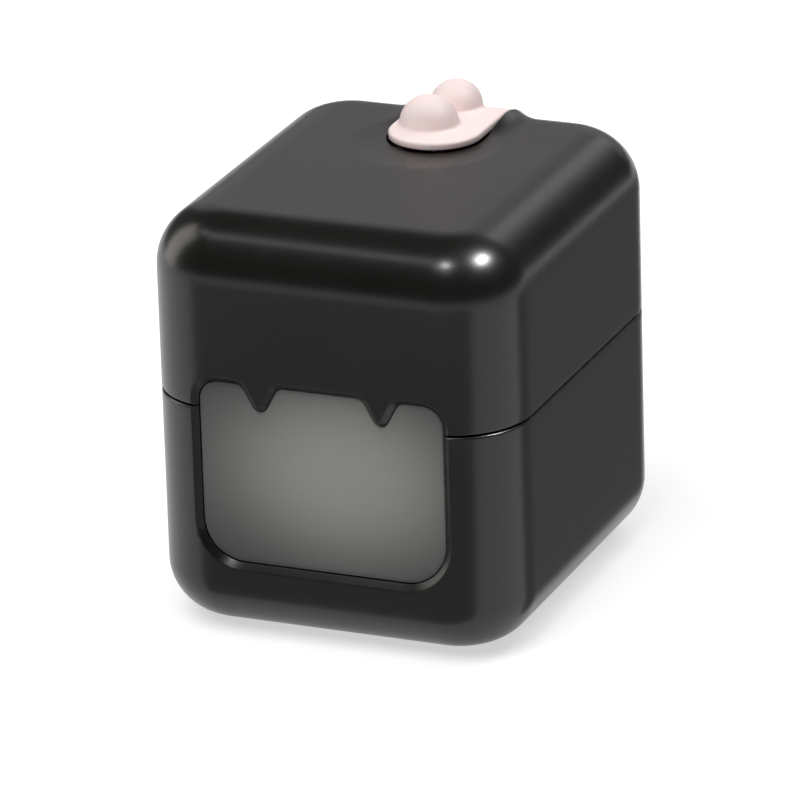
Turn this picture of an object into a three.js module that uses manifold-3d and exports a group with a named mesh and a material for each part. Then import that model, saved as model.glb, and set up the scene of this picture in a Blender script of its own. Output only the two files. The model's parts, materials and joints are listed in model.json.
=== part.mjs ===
// Cotton pad travel case: a rounded black box with a flip lid, a frosted inner cup that shows
// through the front window, and a pink press tab that frees the lid's catch.
// Sizes are in millimetres, +Z is up and the window faces -Y.

import * as THREE from 'three';
import { mergeVertices } from 'three/addons/utils/BufferGeometryUtils.js';
import Module from 'manifold-3d';

const wasm = await Module();
wasm.setup();

// Driving dimensions

const body = {
  width: 74,
  depth: 86,
  height: 82,
  lidHeight: 36.3,
  wall: 2,
  floor: 2.4,
  uprightRadius: 15,
  topRadius: 12,
  bottomRadius: 11,
  rimRound: 0.5,
  seamGap: 0.3,
};

const foot = {
  radius: 4.5,
  thickness: 1.4,
  stand: 0.6,
  edgeRound: 0.3,
  sideGap: 0.15,
  fromSide: 17,
  fromEnd: 17,
};

const opening = {
  fromSide: 11,
  sill: 13.6,
  riseAboveSeam: 6.65,
  bottomCorner: 9.6,
  topCorner: 5.5,
  bevel: 1.25,
  bevelDepth: 1.15,
};

const drip = {
  placeShare: 0.47,
  drop: 5.15,
  tipRadius: 0.3,
  shoulderRadius: 3.35,
  lean: THREE.MathUtils.degToRad(28),
};

const cup = {
  wall: 1.3,
  floor: 1.4,
  gapToShell: 0.8,
  riseAboveSeam: 9.7,
  bottomRadius: 11,
  rimRound: 0.4,
};

const pane = {
  setBack: 1.3,
  gap: 0.35,
  edgeRound: 0.3,
};

const guideRib = {
  thickness: 1.2,
  height: 30,
  placeShare: 0.5,
};

const hinge = {
  pinRadius: 0.9,
  boreGap: 0.12,
  barrelRadius: 2.6,
  behindWall: 0.8,
  innerReach: 7,
  splitReach: 13.8,
  outerReach: 21,
  endGap: 0.3,
  barrelGap: 0.35,
  webHeight: 8,
  ledgeReach: 4.2,
  ledgeDepth: 2.5,
  stopGap: 0.1,
  opening: THREE.MathUtils.degToRad(100),
};

const hingeSpring = {
  wire: 0.7,
  coilRadius: 1.75,
  turns: 7,
  pitch: 1.35,
  legLength: 6,
};

const tab = {
  halfWidth: 9.2,
  frontFromPivot: 26,
  plate: 1.5,
  proud: 1.4,
  edgeRound: 0.6,
  joinFromPivot: 3,
  rearTurn: THREE.MathUtils.degToRad(38),
  domesLeft: 1.9,
  frontDome: { fromTip: 10.9, radius: 5.6 },
  rearDome: { fromTip: 22.5, radius: 5 },
};

const tabPin = {
  radius: 0.8,
  boreGap: 0.12,
  fromRear: 7.5,
  below: 4.2,
  barrelRadius: 2.3,
  bossWidth: 3.6,
  bossRadius: 3,
  bossDepth: 5,
  endGap: 0.5,
};

const well = {
  gap: 0.5,
  frontGap: 0.8,
  depth: 2.8,
  wall: 1.5,
  slotDepth: 14,
};

const cheek = {
  height: 1.1,
  width: 5,
  fadeLength: 11,
  rearTurn: THREE.MathUtils.degToRad(72),
};

const dish = {
  depth: 0.6,
  radius: 15,
};

const hook = {
  width: 10,
  thickness: 2,
  reach: 1.05,
  noseHeight: 0.5,
  rampHeight: 0.7,
  bottomAboveSeam: 0.6,
  toWall: 1.8,
  stopBar: 1.6,
  stopGap: 0.15,
};

const catchLeaf = {
  width: 9,
  thickness: 0.4,
  engage: 0.8,
  gapAboveNose: 0.3,
  seatDepth: 8,
  stakeRadius: 1.2,
  stakeGap: 0.1,
  hookGap: 0.35,
};

const tower = {
  plate: 1.5,
  cheekWall: 1.4,
  sideGap: 0.4,
  belowSeam: 0.6,
};

const tabSpring = {
  wire: 0.45,
  coilRadius: 2.1,
  turns: 4.5,
  pocketGap: 0.35,
  pocketDepth: 3.4,
  pocketWall: 1.3,
  fromTabFront: 6.2,
};

// Shared clearances and counts of facets

const seatGap = 0.05;
const overrun = 1;
const quarterTurn = Math.PI / 2;
const facets = { corner: 11, fillet: 8, arc: 5, round: 28, dome: 32, wire: 6, turn: 10 };

// Levels and planes that several pieces share

const bodyBottom = foot.stand;
const bodyTop = bodyBottom + body.height;
const seamZ = bodyTop - body.lidHeight;
const halfWidth = body.width / 2;
const halfDepth = body.depth / 2;
const floorTop = bodyBottom + body.floor;
const hingeY = halfDepth + hinge.behindWall;
const pivotY = halfDepth - tabPin.fromRear;
const pivotZ = bodyTop - tabPin.below;
const wellFloor = bodyTop - well.depth;
const tabTop = bodyTop + tab.proud;
const tabFrontY = pivotY - tab.frontFromPivot;
const slotHalfWidth = tab.halfWidth + well.gap;
const openingHalfWidth = halfWidth - opening.fromSide;
const footAcross = halfWidth - foot.fromSide;
const footAlong = halfDepth - foot.fromEnd;

// Geometry helpers

function toSolid(geometry) {
  const bare = geometry.clone();
  bare.deleteAttribute('normal');
  bare.deleteAttribute('uv');
  const merged = mergeVertices(bare, 1e-4);
  return new wasm.Manifold(new wasm.Mesh({
    numProp: 3,
    vertProperties: new Float32Array(merged.attributes.position.array),
    triVerts: new Uint32Array(merged.index.array),
  }));
}

function toGeometry(solid) {
  const mesh = solid.getMesh();
  const geometry = new THREE.BufferGeometry();
  geometry.setAttribute('position', new THREE.BufferAttribute(mesh.vertProperties, 3));
  geometry.setIndex(new THREE.BufferAttribute(mesh.triVerts, 1));
  geometry.computeVertexNormals();
  return geometry;
}

function joined(solids) {
  return solids.reduce((whole, solid) => whole.add(solid));
}

// A closed skin over rings of equally many points. The plan is the ring's outline in two
// dimensions, which closes both ends.
function loft(rings, plan) {
  const count = plan.length;
  const positions = rings.flat().flatMap((point) => [point.x, point.y, point.z]);
  const triangles = [];
  for (let level = 0; level + 1 < rings.length; level += 1) {
    for (let index = 0; index < count; index += 1) {
      const next = (index + 1) % count;
      const low = level * count;
      const high = low + count;
      triangles.push(low + index, low + next, high + next);
      triangles.push(low + index, high + next, high + index);
    }
  }
  const last = (rings.length - 1) * count;
  for (const [a, b, c] of THREE.ShapeUtils.triangulateShape(plan, [])) {
    triangles.push(a, c, b);
    triangles.push(last + a, last + b, last + c);
  }
  const geometry = new THREE.BufferGeometry();
  geometry.setAttribute('position', new THREE.Float32BufferAttribute(positions, 3));
  geometry.setIndex(triangles);
  return geometry;
}

function flat(ring) {
  return ring.map((point) => new THREE.Vector2(point.x, point.y));
}

function roundedRing(alongX, alongY, radius, z) {
  const ring = [];
  const corners = [[1, 1], [-1, 1], [-1, -1], [1, -1]];
  corners.forEach(([signX, signY], turn) => {
    for (let step = 0; step <= facets.corner; step += 1) {
      const angle = (turn + step / facets.corner) * quarterTurn;
      const x = signX * (alongX - radius) + radius * Math.cos(angle);
      const y = signY * (alongY - radius) + radius * Math.sin(angle);
      ring.push(new THREE.Vector3(x, y, z));
    }
  });
  return ring;
}

// A box with round upright edges whose bottom and top edges have fillets of their own.
function roundedBox({ alongX, alongY, radius, bottom, top, bottomRound, topRound }) {
  const rings = [];
  const least = Math.min(bottomRound, topRound, radius) / facets.corner;
  const addRing = (inset, z) => {
    const corner = Math.max(radius - inset, least);
    rings.push(roundedRing(alongX - inset, alongY - inset, corner, z));
  };
  for (let step = 0; step <= facets.fillet; step += 1) {
    const angle = (step / facets.fillet) * quarterTurn;
    addRing(bottomRound * (1 - Math.sin(angle)), bottom + bottomRound * (1 - Math.cos(angle)));
  }
  for (let step = 0; step <= facets.fillet; step += 1) {
    const angle = (step / facets.fillet) * quarterTurn;
    addRing(topRound * (1 - Math.cos(angle)), top - topRound * (1 - Math.sin(angle)));
  }
  return loft(rings, flat(rings[0]));
}

function box(fromX, toX, fromY, toY, fromZ, toZ) {
  const geometry = new THREE.BoxGeometry(toX - fromX, toY - fromY, toZ - fromZ);
  geometry.translate((fromX + toX) / 2, (fromY + toY) / 2, (fromZ + toZ) / 2);
  return toSolid(geometry);
}

function upright(radius, x, y, fromZ, toZ, sides = facets.round) {
  const geometry = new THREE.CylinderGeometry(radius, radius, toZ - fromZ, sides);
  geometry.rotateX(quarterTurn);
  geometry.translate(x, y, (fromZ + toZ) / 2);
  return toSolid(geometry);
}

function crosswise(radius, fromX, toX, y, z, sides = facets.round) {
  const geometry = new THREE.CylinderGeometry(radius, radius, toX - fromX, sides);
  geometry.rotateZ(quarterTurn);
  geometry.translate((fromX + toX) / 2, y, z);
  return toSolid(geometry);
}

// An outline in the plane of Y and Z, drawn out along X.
function sideProfile(points, fromX, toX, edgeRound = 0) {
  const shape = new THREE.Shape(points.map(([y, z]) => new THREE.Vector2(y, z)));
  const rounded = edgeRound > 0;
  const geometry = new THREE.ExtrudeGeometry(shape, {
    depth: toX - fromX - 2 * edgeRound,
    steps: 1,
    bevelEnabled: rounded,
    bevelSize: edgeRound,
    bevelOffset: -edgeRound,
    bevelThickness: edgeRound,
    bevelSegments: 3,
  });
  const turn = new THREE.Matrix4().makeBasis(
    new THREE.Vector3(0, 1, 0),
    new THREE.Vector3(0, 0, 1),
    new THREE.Vector3(1, 0, 0),
  );
  geometry.applyMatrix4(turn);
  geometry.translate(fromX + edgeRound, 0, 0);
  return toSolid(geometry);
}

function bothSides(make) {
  return joined([make(-1), make(1)]);
}

// A wire drawn along a curve, with a round section of few sides.
function wireAlong(points, wire, stepsPerPoint) {
  const route = new THREE.CatmullRomCurve3(points, false, 'centripetal');
  const section = new THREE.Shape();
  for (let side = 0; side < facets.wire; side += 1) {
    const angle = (side / facets.wire) * 4 * quarterTurn;
    const x = (wire / 2) * Math.cos(angle);
    const y = (wire / 2) * Math.sin(angle);
    if (side === 0) {
      section.moveTo(x, y);
    } else {
      section.lineTo(x, y);
    }
  }
  return new THREE.ExtrudeGeometry(section, {
    steps: Math.round((points.length - 1) * stepsPerPoint),
    extrudePath: route,
    bevelEnabled: false,
  });
}

// The least free space between points of a coil that are half a turn or more apart.
function leastGap(points, wire) {
  let least = Infinity;
  points.forEach((point, index) => {
    for (const other of points.slice(index + facets.turn / 2)) {
      least = Math.min(least, point.distanceTo(other) - wire);
    }
  });
  return least;
}

// Outline of the window opening, seen from the front as x and z. An inset moves the whole
// outline into the opening: round corners get tighter and the drips' tips get blunter.

const openingTop = seamZ + opening.riseAboveSeam;
const openingBottom = bodyBottom + opening.sill;

function arc(points, x, z, radius, fromAngle, toAngle) {
  for (let step = 0; step <= facets.arc; step += 1) {
    const angle = fromAngle + (toAngle - fromAngle) * (step / facets.arc);
    points.push([x + radius * Math.cos(angle), z + radius * Math.sin(angle)]);
  }
}

function addDrip(points, x, inset) {
  const side = quarterTurn + (quarterTurn - drip.lean);
  const otherSide = 2 * quarterTurn - side;
  const tipZ = openingTop - drip.drop + drip.tipRadius;
  const shoulderZ = openingTop - drip.shoulderRadius;
  const reach = drip.tipRadius + drip.shoulderRadius + (shoulderZ - tipZ) * Math.sin(side);
  const shoulderX = reach / -Math.cos(side);
  const shoulder = drip.shoulderRadius - inset;
  const tip = drip.tipRadius + inset;
  arc(points, x + shoulderX, shoulderZ, shoulder, quarterTurn, side);
  arc(points, x, tipZ, tip, side + 2 * quarterTurn, otherSide + 2 * quarterTurn);
  arc(points, x - shoulderX, shoulderZ, shoulder, otherSide, quarterTurn);
}

function openingOutline(inset) {
  const points = [];
  const bottomX = openingHalfWidth - opening.bottomCorner;
  const bottomZ = openingBottom + opening.bottomCorner;
  const topX = openingHalfWidth - opening.topCorner;
  const topZ = openingTop - opening.topCorner;
  const bottomRadius = opening.bottomCorner - inset;
  const topRadius = opening.topCorner - inset;
  arc(points, -bottomX, bottomZ, bottomRadius, 2 * quarterTurn, 3 * quarterTurn);
  arc(points, bottomX, bottomZ, bottomRadius, 3 * quarterTurn, 4 * quarterTurn);
  arc(points, topX, topZ, topRadius, 0, quarterTurn);
  addDrip(points, drip.placeShare * openingHalfWidth, inset);
  addDrip(points, -drip.placeShare * openingHalfWidth, inset);
  arc(points, -topX, topZ, topRadius, quarterTurn, 2 * quarterTurn);
  return points;
}

// The front wall's face at a place across the box, which falls back round the upright edges.
function frontFace(x, depthIn) {
  const past = Math.max(Math.abs(x) - (halfWidth - body.uprightRadius), 0);
  const radius = body.uprightRadius - depthIn;
  const kept = Math.sqrt(Math.max(radius * radius - past * past, 0));
  return -halfDepth + body.uprightRadius - kept;
}

// A block in the window's outline, from inside outwards. Each layer has its outline's inset,
// its depth behind the front face and a shift along Y.
function windowBlock(layers) {
  const rings = layers.map(({ inset, depthIn, shift = 0 }) => openingOutline(inset).map(
    ([x, z]) => new THREE.Vector3(x, frontFace(x, depthIn) + shift, z),
  ));
  const plan = openingOutline(0).map(([x, z]) => new THREE.Vector2(x, z));
  return toSolid(loft(rings, plan));
}

// The bevelled block that cuts the window through the front wall.
function openingCut() {
  return windowBlock([
    { inset: opening.bevel, depthIn: body.wall, shift: overrun },
    { inset: opening.bevel, depthIn: opening.bevelDepth },
    { inset: 0, depthIn: 0 },
    { inset: 0, depthIn: 0, shift: -overrun },
  ]);
}

const windowHole = openingCut();

// Shells

function shellSkin(inset, bottom, top, bottomRound, topRound) {
  return toSolid(roundedBox({
    alongX: halfWidth - inset,
    alongY: halfDepth - inset,
    radius: body.uprightRadius - inset,
    bottom,
    top,
    bottomRound,
    topRound,
  }));
}

const baseRim = seamZ - body.seamGap / 2;
const lidRim = seamZ + body.seamGap / 2;
const wallInset = body.wall;
const outerLid = shellSkin(0, lidRim, bodyTop, body.rimRound, body.topRadius);
const lidCavity = shellSkin(
  wallInset,
  lidRim - overrun,
  bodyTop - body.wall,
  overrun / 2,
  body.topRadius - body.wall,
);

// Hinge: two barrels on the base outside two on the lid, with the opening spring between them.

const boreRadius = hinge.pinRadius + hinge.boreGap;

// Height of the opened lid's rear face above the hinge axis, at a distance behind the axis.
function openedRearFace(behind) {
  const slope = Math.cos(hinge.opening) / Math.sin(hinge.opening);
  return hinge.behindWall / Math.sin(hinge.opening) + behind * slope - hinge.stopGap;
}

function barrel(fromX, toX, web) {
  const placed = web.map(([y, z]) => [hingeY + y, seamZ + z]);
  return crosswise(hinge.barrelRadius, fromX, toX, hingeY, seamZ)
    .add(sideProfile(placed, fromX, toX));
}

function baseWeb() {
  const inWall = -hinge.behindWall - body.wall / 2;
  const clear = hinge.barrelRadius + hinge.barrelGap;
  return [
    [inWall, 0],
    [inWall, -hinge.webHeight],
    [-hinge.behindWall, -hinge.webHeight],
    [hinge.ledgeReach, -hinge.ledgeDepth],
    [hinge.ledgeReach, openedRearFace(hinge.ledgeReach)],
    [clear, openedRearFace(clear)],
    [0, 0],
  ];
}

function lidWeb() {
  const inWall = -hinge.behindWall - body.wall / 2;
  return [
    [inWall, 0],
    [0, 0],
    [hinge.barrelRadius, 0],
    [hinge.barrelRadius, hinge.ledgeDepth],
    [-hinge.behindWall, hinge.webHeight],
    [inWall, hinge.webHeight],
  ];
}

function baseBarrels() {
  return bothSides((side) => {
    const ends = [side * hinge.splitReach, side * hinge.outerReach].sort((a, b) => a - b);
    return barrel(ends[0] + hinge.endGap / 2, ends[1] - hinge.endGap / 2, baseWeb());
  });
}

function lidBarrels() {
  return bothSides((side) => {
    const ends = [side * hinge.innerReach, side * hinge.splitReach].sort((a, b) => a - b);
    return barrel(ends[0] + hinge.endGap / 2, ends[1] - hinge.endGap / 2, lidWeb());
  });
}

function hingeBore() {
  const end = hinge.outerReach + overrun;
  return crosswise(boreRadius, -end, end, hingeY, seamZ);
}

// Room in one shell's wall for the other shell's barrels and for the spring.
function barrelRoom(fromX, toX) {
  const radius = hinge.barrelRadius + hinge.barrelGap;
  return bothSides((side) => {
    const ends = [side * fromX, side * toX].sort((a, b) => a - b);
    return crosswise(radius, ends[0], ends[1], hingeY, seamZ);
  });
}

// Latch: a tower inside the base's rear wall holds a spring leaf over the hook's nose.

const legRear = halfDepth - body.wall - hook.toWall;
const legFront = legRear - hook.thickness;
const noseFront = legFront - hook.reach;
const hookBottom = seamZ + hook.bottomAboveSeam;
const noseTop = hookBottom + hook.rampHeight + hook.noseHeight;
const leafRear = legFront - catchLeaf.hookGap - hook.reach;
const leafFront = leafRear - catchLeaf.thickness;
const towerFront = leafFront - seatGap - tower.plate;
const towerTop = baseRim - tower.belowSeam;
const stakeZ = towerTop - catchLeaf.seatDepth / 2;
const cupRear = towerFront - cup.gapToShell;

function towerSolid() {
  const inside = hook.width / 2 + tower.sideGap;
  const outside = inside + tower.cheekWall;
  const rear = halfDepth - body.wall / 2;
  const plateRear = towerFront + tower.plate;
  const bottom = bodyBottom + body.floor / 2;
  const front = box(-outside, outside, towerFront, plateRear, bottom, towerTop);
  const sides = bothSides((side) => {
    const ends = [side * inside, side * outside].sort((a, b) => a - b);
    return box(ends[0], ends[1], plateRear - seatGap, rear, bottom, towerTop);
  });
  const stake = new THREE.CylinderGeometry(
    catchLeaf.stakeRadius,
    catchLeaf.stakeRadius,
    catchLeaf.thickness + tower.plate,
    facets.round,
  );
  stake.translate(0, towerFront + (catchLeaf.thickness + tower.plate) / 2 + seatGap, stakeZ);
  return joined([front, sides, toSolid(stake)]);
}

function leafSolid() {
  const lipEnd = noseFront + catchLeaf.engage;
  const lipBottom = noseTop + catchLeaf.gapAboveNose;
  const lipTop = lipBottom + catchLeaf.thickness;
  const strip = sideProfile([
    [leafFront, towerTop - catchLeaf.seatDepth],
    [leafRear, towerTop - catchLeaf.seatDepth],
    [leafRear, lipBottom],
    [lipEnd, lipBottom],
    [lipEnd, lipTop],
    [leafFront, lipTop],
  ], -catchLeaf.width / 2, catchLeaf.width / 2);
  const hole = new THREE.CylinderGeometry(
    catchLeaf.stakeRadius + catchLeaf.stakeGap,
    catchLeaf.stakeRadius + catchLeaf.stakeGap,
    catchLeaf.thickness + overrun,
    facets.round,
  );
  hole.translate(0, (leafFront + leafRear) / 2, stakeZ);
  return strip.subtract(toSolid(hole));
}

// Cup

const cupFront = -halfDepth + body.wall + cup.gapToShell;
const cupAlongX = halfWidth - body.wall - cup.gapToShell;
const cupAlongY = (cupRear - cupFront) / 2;
const cupCentreY = (cupRear + cupFront) / 2;
const cupRadius = body.uprightRadius - body.wall - cup.gapToShell;
const cupBottom = floorTop + seatGap;
const cupTop = seamZ + cup.riseAboveSeam;

function cupSkin(inset, bottom, top, topRound) {
  const geometry = roundedBox({
    alongX: cupAlongX - inset,
    alongY: cupAlongY - inset,
    radius: cupRadius - inset,
    bottom,
    top,
    bottomRound: cup.bottomRadius - inset,
    topRound,
  });
  geometry.translate(0, cupCentreY, 0);
  return toSolid(geometry);
}

// The pane stands forward from the cup's front wall into the window opening.
function paneSolid() {
  const inset = opening.bevel + pane.gap;
  return windowBlock([
    { inset, depthIn: body.wall + cup.gapToShell + cup.wall / 2 },
    { inset, depthIn: pane.setBack + pane.edgeRound },
    { inset: inset + pane.edgeRound, depthIn: pane.setBack },
  ]);
}

function cupSolid() {
  const outside = cupSkin(0, cupBottom, cupTop, cup.rimRound);
  const inside = cupSkin(cup.wall, cupBottom + cup.floor, cupTop + overrun, cup.rimRound);
  return outside.subtract(inside).add(paneSolid());
}

// Upright ribs on the base's side walls that keep the cup from shifting.
function guideRibs() {
  const ribs = [];
  const reach = cup.gapToShell - seatGap;
  const bottom = bodyBottom + body.bottomRadius;
  for (const side of [-1, 1]) {
    for (const end of [-1, 1]) {
      const wallFace = side * (halfWidth - body.wall);
      const ends = [wallFace - side * reach, wallFace + side * body.wall / 2].sort((a, b) => a - b);
      const middle = cupCentreY + end * guideRib.placeShare * cupAlongY;
      ribs.push(box(
        ends[0],
        ends[1],
        middle - guideRib.thickness / 2,
        middle + guideRib.thickness / 2,
        bottom,
        bottom + guideRib.height,
      ));
    }
  }
  return joined(ribs);
}

// Feet

const footPlaces = [
  ['foot_front_left', -1, -1],
  ['foot_front_right', 1, -1],
  ['foot_rear_left', -1, 1],
  ['foot_rear_right', 1, 1],
];

function footGeometry() {
  const outline = [new THREE.Vector2(0, 0)];
  for (let step = 0; step <= facets.arc; step += 1) {
    const angle = (step / facets.arc) * quarterTurn;
    const x = foot.radius - foot.edgeRound * (1 - Math.sin(angle));
    const y = foot.edgeRound * (1 - Math.cos(angle));
    outline.push(new THREE.Vector2(x, y));
  }
  outline.push(new THREE.Vector2(foot.radius, foot.thickness));
  outline.push(new THREE.Vector2(0, foot.thickness));
  const geometry = new THREE.LatheGeometry(outline, facets.round);
  geometry.rotateX(quarterTurn);
  return geometry;
}

function footRecesses() {
  return joined(footPlaces.map(([, signX, signY]) => upright(
    foot.radius + foot.sideGap,
    signX * footAcross,
    signY * footAlong,
    bodyBottom - overrun,
    foot.thickness + seatGap,
  )));
}

// Base shell

function baseSolid() {
  const outside = shellSkin(0, bodyBottom, baseRim, body.bottomRadius, body.rimRound);
  const inside = shellSkin(
    wallInset,
    floorTop,
    baseRim + overrun,
    body.bottomRadius - body.wall,
    overrun / 2,
  );
  const walls = outside.subtract(inside)
    .subtract(barrelRoom(0, hinge.splitReach));
  const fitted = joined([walls, towerSolid().intersect(outside), guideRibs(), baseBarrels()]);
  return fitted.subtract(hingeBore()).subtract(windowHole).subtract(footRecesses());
}

// Press tab

function tabOutline(inset) {
  const points = [];
  const radius = tab.halfWidth - inset;
  const centreY = tabFrontY + tab.halfWidth;
  const rear = pivotY - tab.joinFromPivot + tab.edgeRound;
  const steps = 2 * facets.corner;
  for (let step = 0; step <= steps; step += 1) {
    const angle = (2 + (2 * step) / steps) * quarterTurn;
    points.push([radius * Math.cos(angle), centreY + radius * Math.sin(angle)]);
  }
  points.push([radius, rear]);
  points.push([-radius, rear]);
  return points;
}

function tabPlate() {
  const rings = [];
  const addRing = (inset, z) => {
    rings.push(tabOutline(inset).map(([x, y]) => new THREE.Vector3(x, y, z)));
  };
  const bottom = tabTop - tab.plate;
  addRing(0, bottom);
  for (let step = 0; step <= facets.arc; step += 1) {
    const angle = (step / facets.arc) * quarterTurn;
    addRing(tab.edgeRound * (1 - Math.cos(angle)), tabTop - tab.edgeRound * (1 - Math.sin(angle)));
  }
  return toSolid(loft(rings, flat(rings[0])));
}

const turnCentreY = halfDepth - body.topRadius;
const turnCentreZ = bodyTop - body.topRadius;
const turnRadius = body.topRadius + tab.proud;

// The tab's rear end follows the lid's rear edge down and carries the barrel.
function tabHeel() {
  const front = pivotY - tab.joinFromPivot;
  const points = [
    [front, tabTop - tab.plate],
    [pivotY - tabPin.barrelRadius, pivotZ],
    [pivotY + tabPin.barrelRadius, pivotZ],
  ];
  const startTurn = Math.asin((front - turnCentreY) / turnRadius);
  for (let step = facets.fillet; step >= 0; step -= 1) {
    const angle = startTurn + (tab.rearTurn - startTurn) * (step / facets.fillet);
    points.push([
      turnCentreY + turnRadius * Math.sin(angle),
      turnCentreZ + turnRadius * Math.cos(angle),
    ]);
  }
  return sideProfile(points, -tab.halfWidth, tab.halfWidth, tab.edgeRound);
}

function tabLeg() {
  return sideProfile([
    [legFront, pivotZ],
    [legFront, noseTop],
    [noseFront, noseTop],
    [noseFront, noseTop - hook.noseHeight],
    [legFront, hookBottom],
    [legRear, hookBottom],
    [legRear, pivotZ],
  ], -hook.width / 2, hook.width / 2);
}

function dome({ fromTip, radius }) {
  const geometry = new THREE.SphereGeometry(radius, facets.dome, facets.dome / 2);
  geometry.rotateX(quarterTurn);
  geometry.translate(-tab.domesLeft, tabFrontY + fromTip, tabTop);
  const end = tab.halfWidth + radius;
  const rear = tabFrontY + fromTip + radius;
  return toSolid(geometry).intersect(
    box(-end, end, tabFrontY, rear, tabTop - tab.plate, tabTop + radius),
  );
}

function tabSolid() {
  const barrelPart = crosswise(
    tabPin.barrelRadius,
    -tab.halfWidth,
    tab.halfWidth,
    pivotY,
    pivotZ,
  );
  const whole = joined([
    tabPlate(),
    tabHeel(),
    barrelPart,
    tabLeg(),
    dome(tab.frontDome),
    dome(tab.rearDome),
  ]);
  const end = tab.halfWidth + overrun;
  return whole.subtract(crosswise(tabPin.radius + tabPin.boreGap, -end, end, pivotY, pivotZ));
}

// Lid shell

const springY = tabFrontY + tabSpring.fromTabFront;
const pocketRadius = tabSpring.coilRadius + tabSpring.wire / 2 + tabSpring.pocketGap;
const pocketFloor = wellFloor - tabSpring.pocketDepth;

function wellOutline(grow) {
  const centreY = tabFrontY + tab.halfWidth;
  const across = tab.halfWidth + grow;
  const along = tab.halfWidth + grow + (well.frontGap - well.gap);
  const points = [];
  const steps = 2 * facets.corner;
  for (let step = 0; step <= steps; step += 1) {
    const angle = (2 + (2 * step) / steps) * quarterTurn;
    points.push([across * Math.cos(angle), centreY + along * Math.sin(angle)]);
  }
  const rear = pivotY - tab.joinFromPivot + grow;
  points.push([across, rear]);
  points.push([-across, rear]);
  return points;
}

function wellBlock(grow, fromZ, toZ) {
  const outline = wellOutline(grow);
  const rings = [fromZ, toZ].map((z) => outline.map(([x, y]) => new THREE.Vector3(x, y, z)));
  return toSolid(loft(rings, flat(rings[0])));
}

// A cheek stands beside the slot: full height at the slot, flaring down to the lid outwards,
// rising from below the dish in the lid's top and dying away down the rear edge.
function cheekSolid(side) {
  const flareSteps = facets.arc;
  const stations = [];
  const addStation = (y, z, angle, share) => stations.push({ y, z, angle, share });
  const smooth = (share) => share * share * (3 - 2 * share);
  const flatSteps = facets.corner;
  const startY = turnCentreY - cheek.fadeLength;
  for (let step = 0; step < flatSteps; step += 1) {
    const share = step / flatSteps;
    addStation(startY + cheek.fadeLength * share, bodyTop, 0, share);
  }
  for (let step = 0; step <= facets.fillet; step += 1) {
    const angle = cheek.rearTurn * (step / facets.fillet);
    const y = turnCentreY + body.topRadius * Math.sin(angle);
    const z = turnCentreZ + body.topRadius * Math.cos(angle);
    addStation(y, z, angle, 1);
  }
  const sunk = body.wall / 2;
  const rings = stations.map((station) => {
    const rise = smooth(station.share);
    const fall = smooth(Math.max(1 - station.angle / cheek.rearTurn, 0));
    const sinking = dish.depth * (1 - rise);
    const height = cheek.height * rise * Math.min(2 * fall, 1) - sinking;
    const place = (x, out) => new THREE.Vector3(
      side * (slotHalfWidth + x),
      station.y + out * Math.sin(station.angle),
      station.z + out * Math.cos(station.angle),
    );
    const ring = [place(0, -sunk), place(0, height)];
    for (let step = 1; step <= flareSteps; step += 1) {
      const share = step / flareSteps;
      ring.push(place(cheek.width * share, height * (1 - share) * (1 - share)));
    }
    ring.push(place(cheek.width, -sunk));
    return side > 0 ? ring.reverse() : ring;
  });
  const fullHeight = rings[flatSteps];
  const plan = fullHeight.map((point) => new THREE.Vector2(point.x, point.z));
  return toSolid(loft(rings.reverse(), plan));
}

function pinBosses() {
  return bothSides((side) => {
    const ends = [side * slotHalfWidth, side * (slotHalfWidth + tabPin.bossWidth)];
    ends.sort((a, b) => a - b);
    const low = pivotZ - tabPin.bossDepth;
    return crosswise(tabPin.bossRadius, ends[0], ends[1], pivotY, pivotZ)
      .add(box(
        ends[0],
        ends[1],
        pivotY - tabPin.bossRadius,
        pivotY + tabPin.bossRadius,
        low,
        bodyTop,
      ));
  });
}

// A bar between the bosses that the leg rests against when the tab is up.
function stopBar() {
  const reach = slotHalfWidth + tabPin.bossWidth;
  const rear = legFront - hook.stopGap;
  const low = pivotZ - tabPin.bossDepth;
  return box(-reach, reach, rear - hook.stopBar, rear, low, low + hook.stopBar);
}

function scoop() {
  const sphere = (dish.radius * dish.radius + dish.depth * dish.depth) / (2 * dish.depth);
  const outline = [new THREE.Vector2(0, 0)];
  const reach = Math.asin(dish.radius / sphere);
  for (let step = 1; step <= facets.fillet; step += 1) {
    const angle = reach * (step / facets.fillet);
    outline.push(new THREE.Vector2(sphere * Math.sin(angle), sphere * (1 - Math.cos(angle))));
  }
  outline.push(new THREE.Vector2(0, dish.depth + overrun));
  const geometry = new THREE.LatheGeometry(outline, 2 * facets.round);
  geometry.rotateX(quarterTurn);
  geometry.translate(0, tabFrontY + tab.halfWidth / 2, bodyTop - dish.depth);
  return toSolid(geometry);
}

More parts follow.
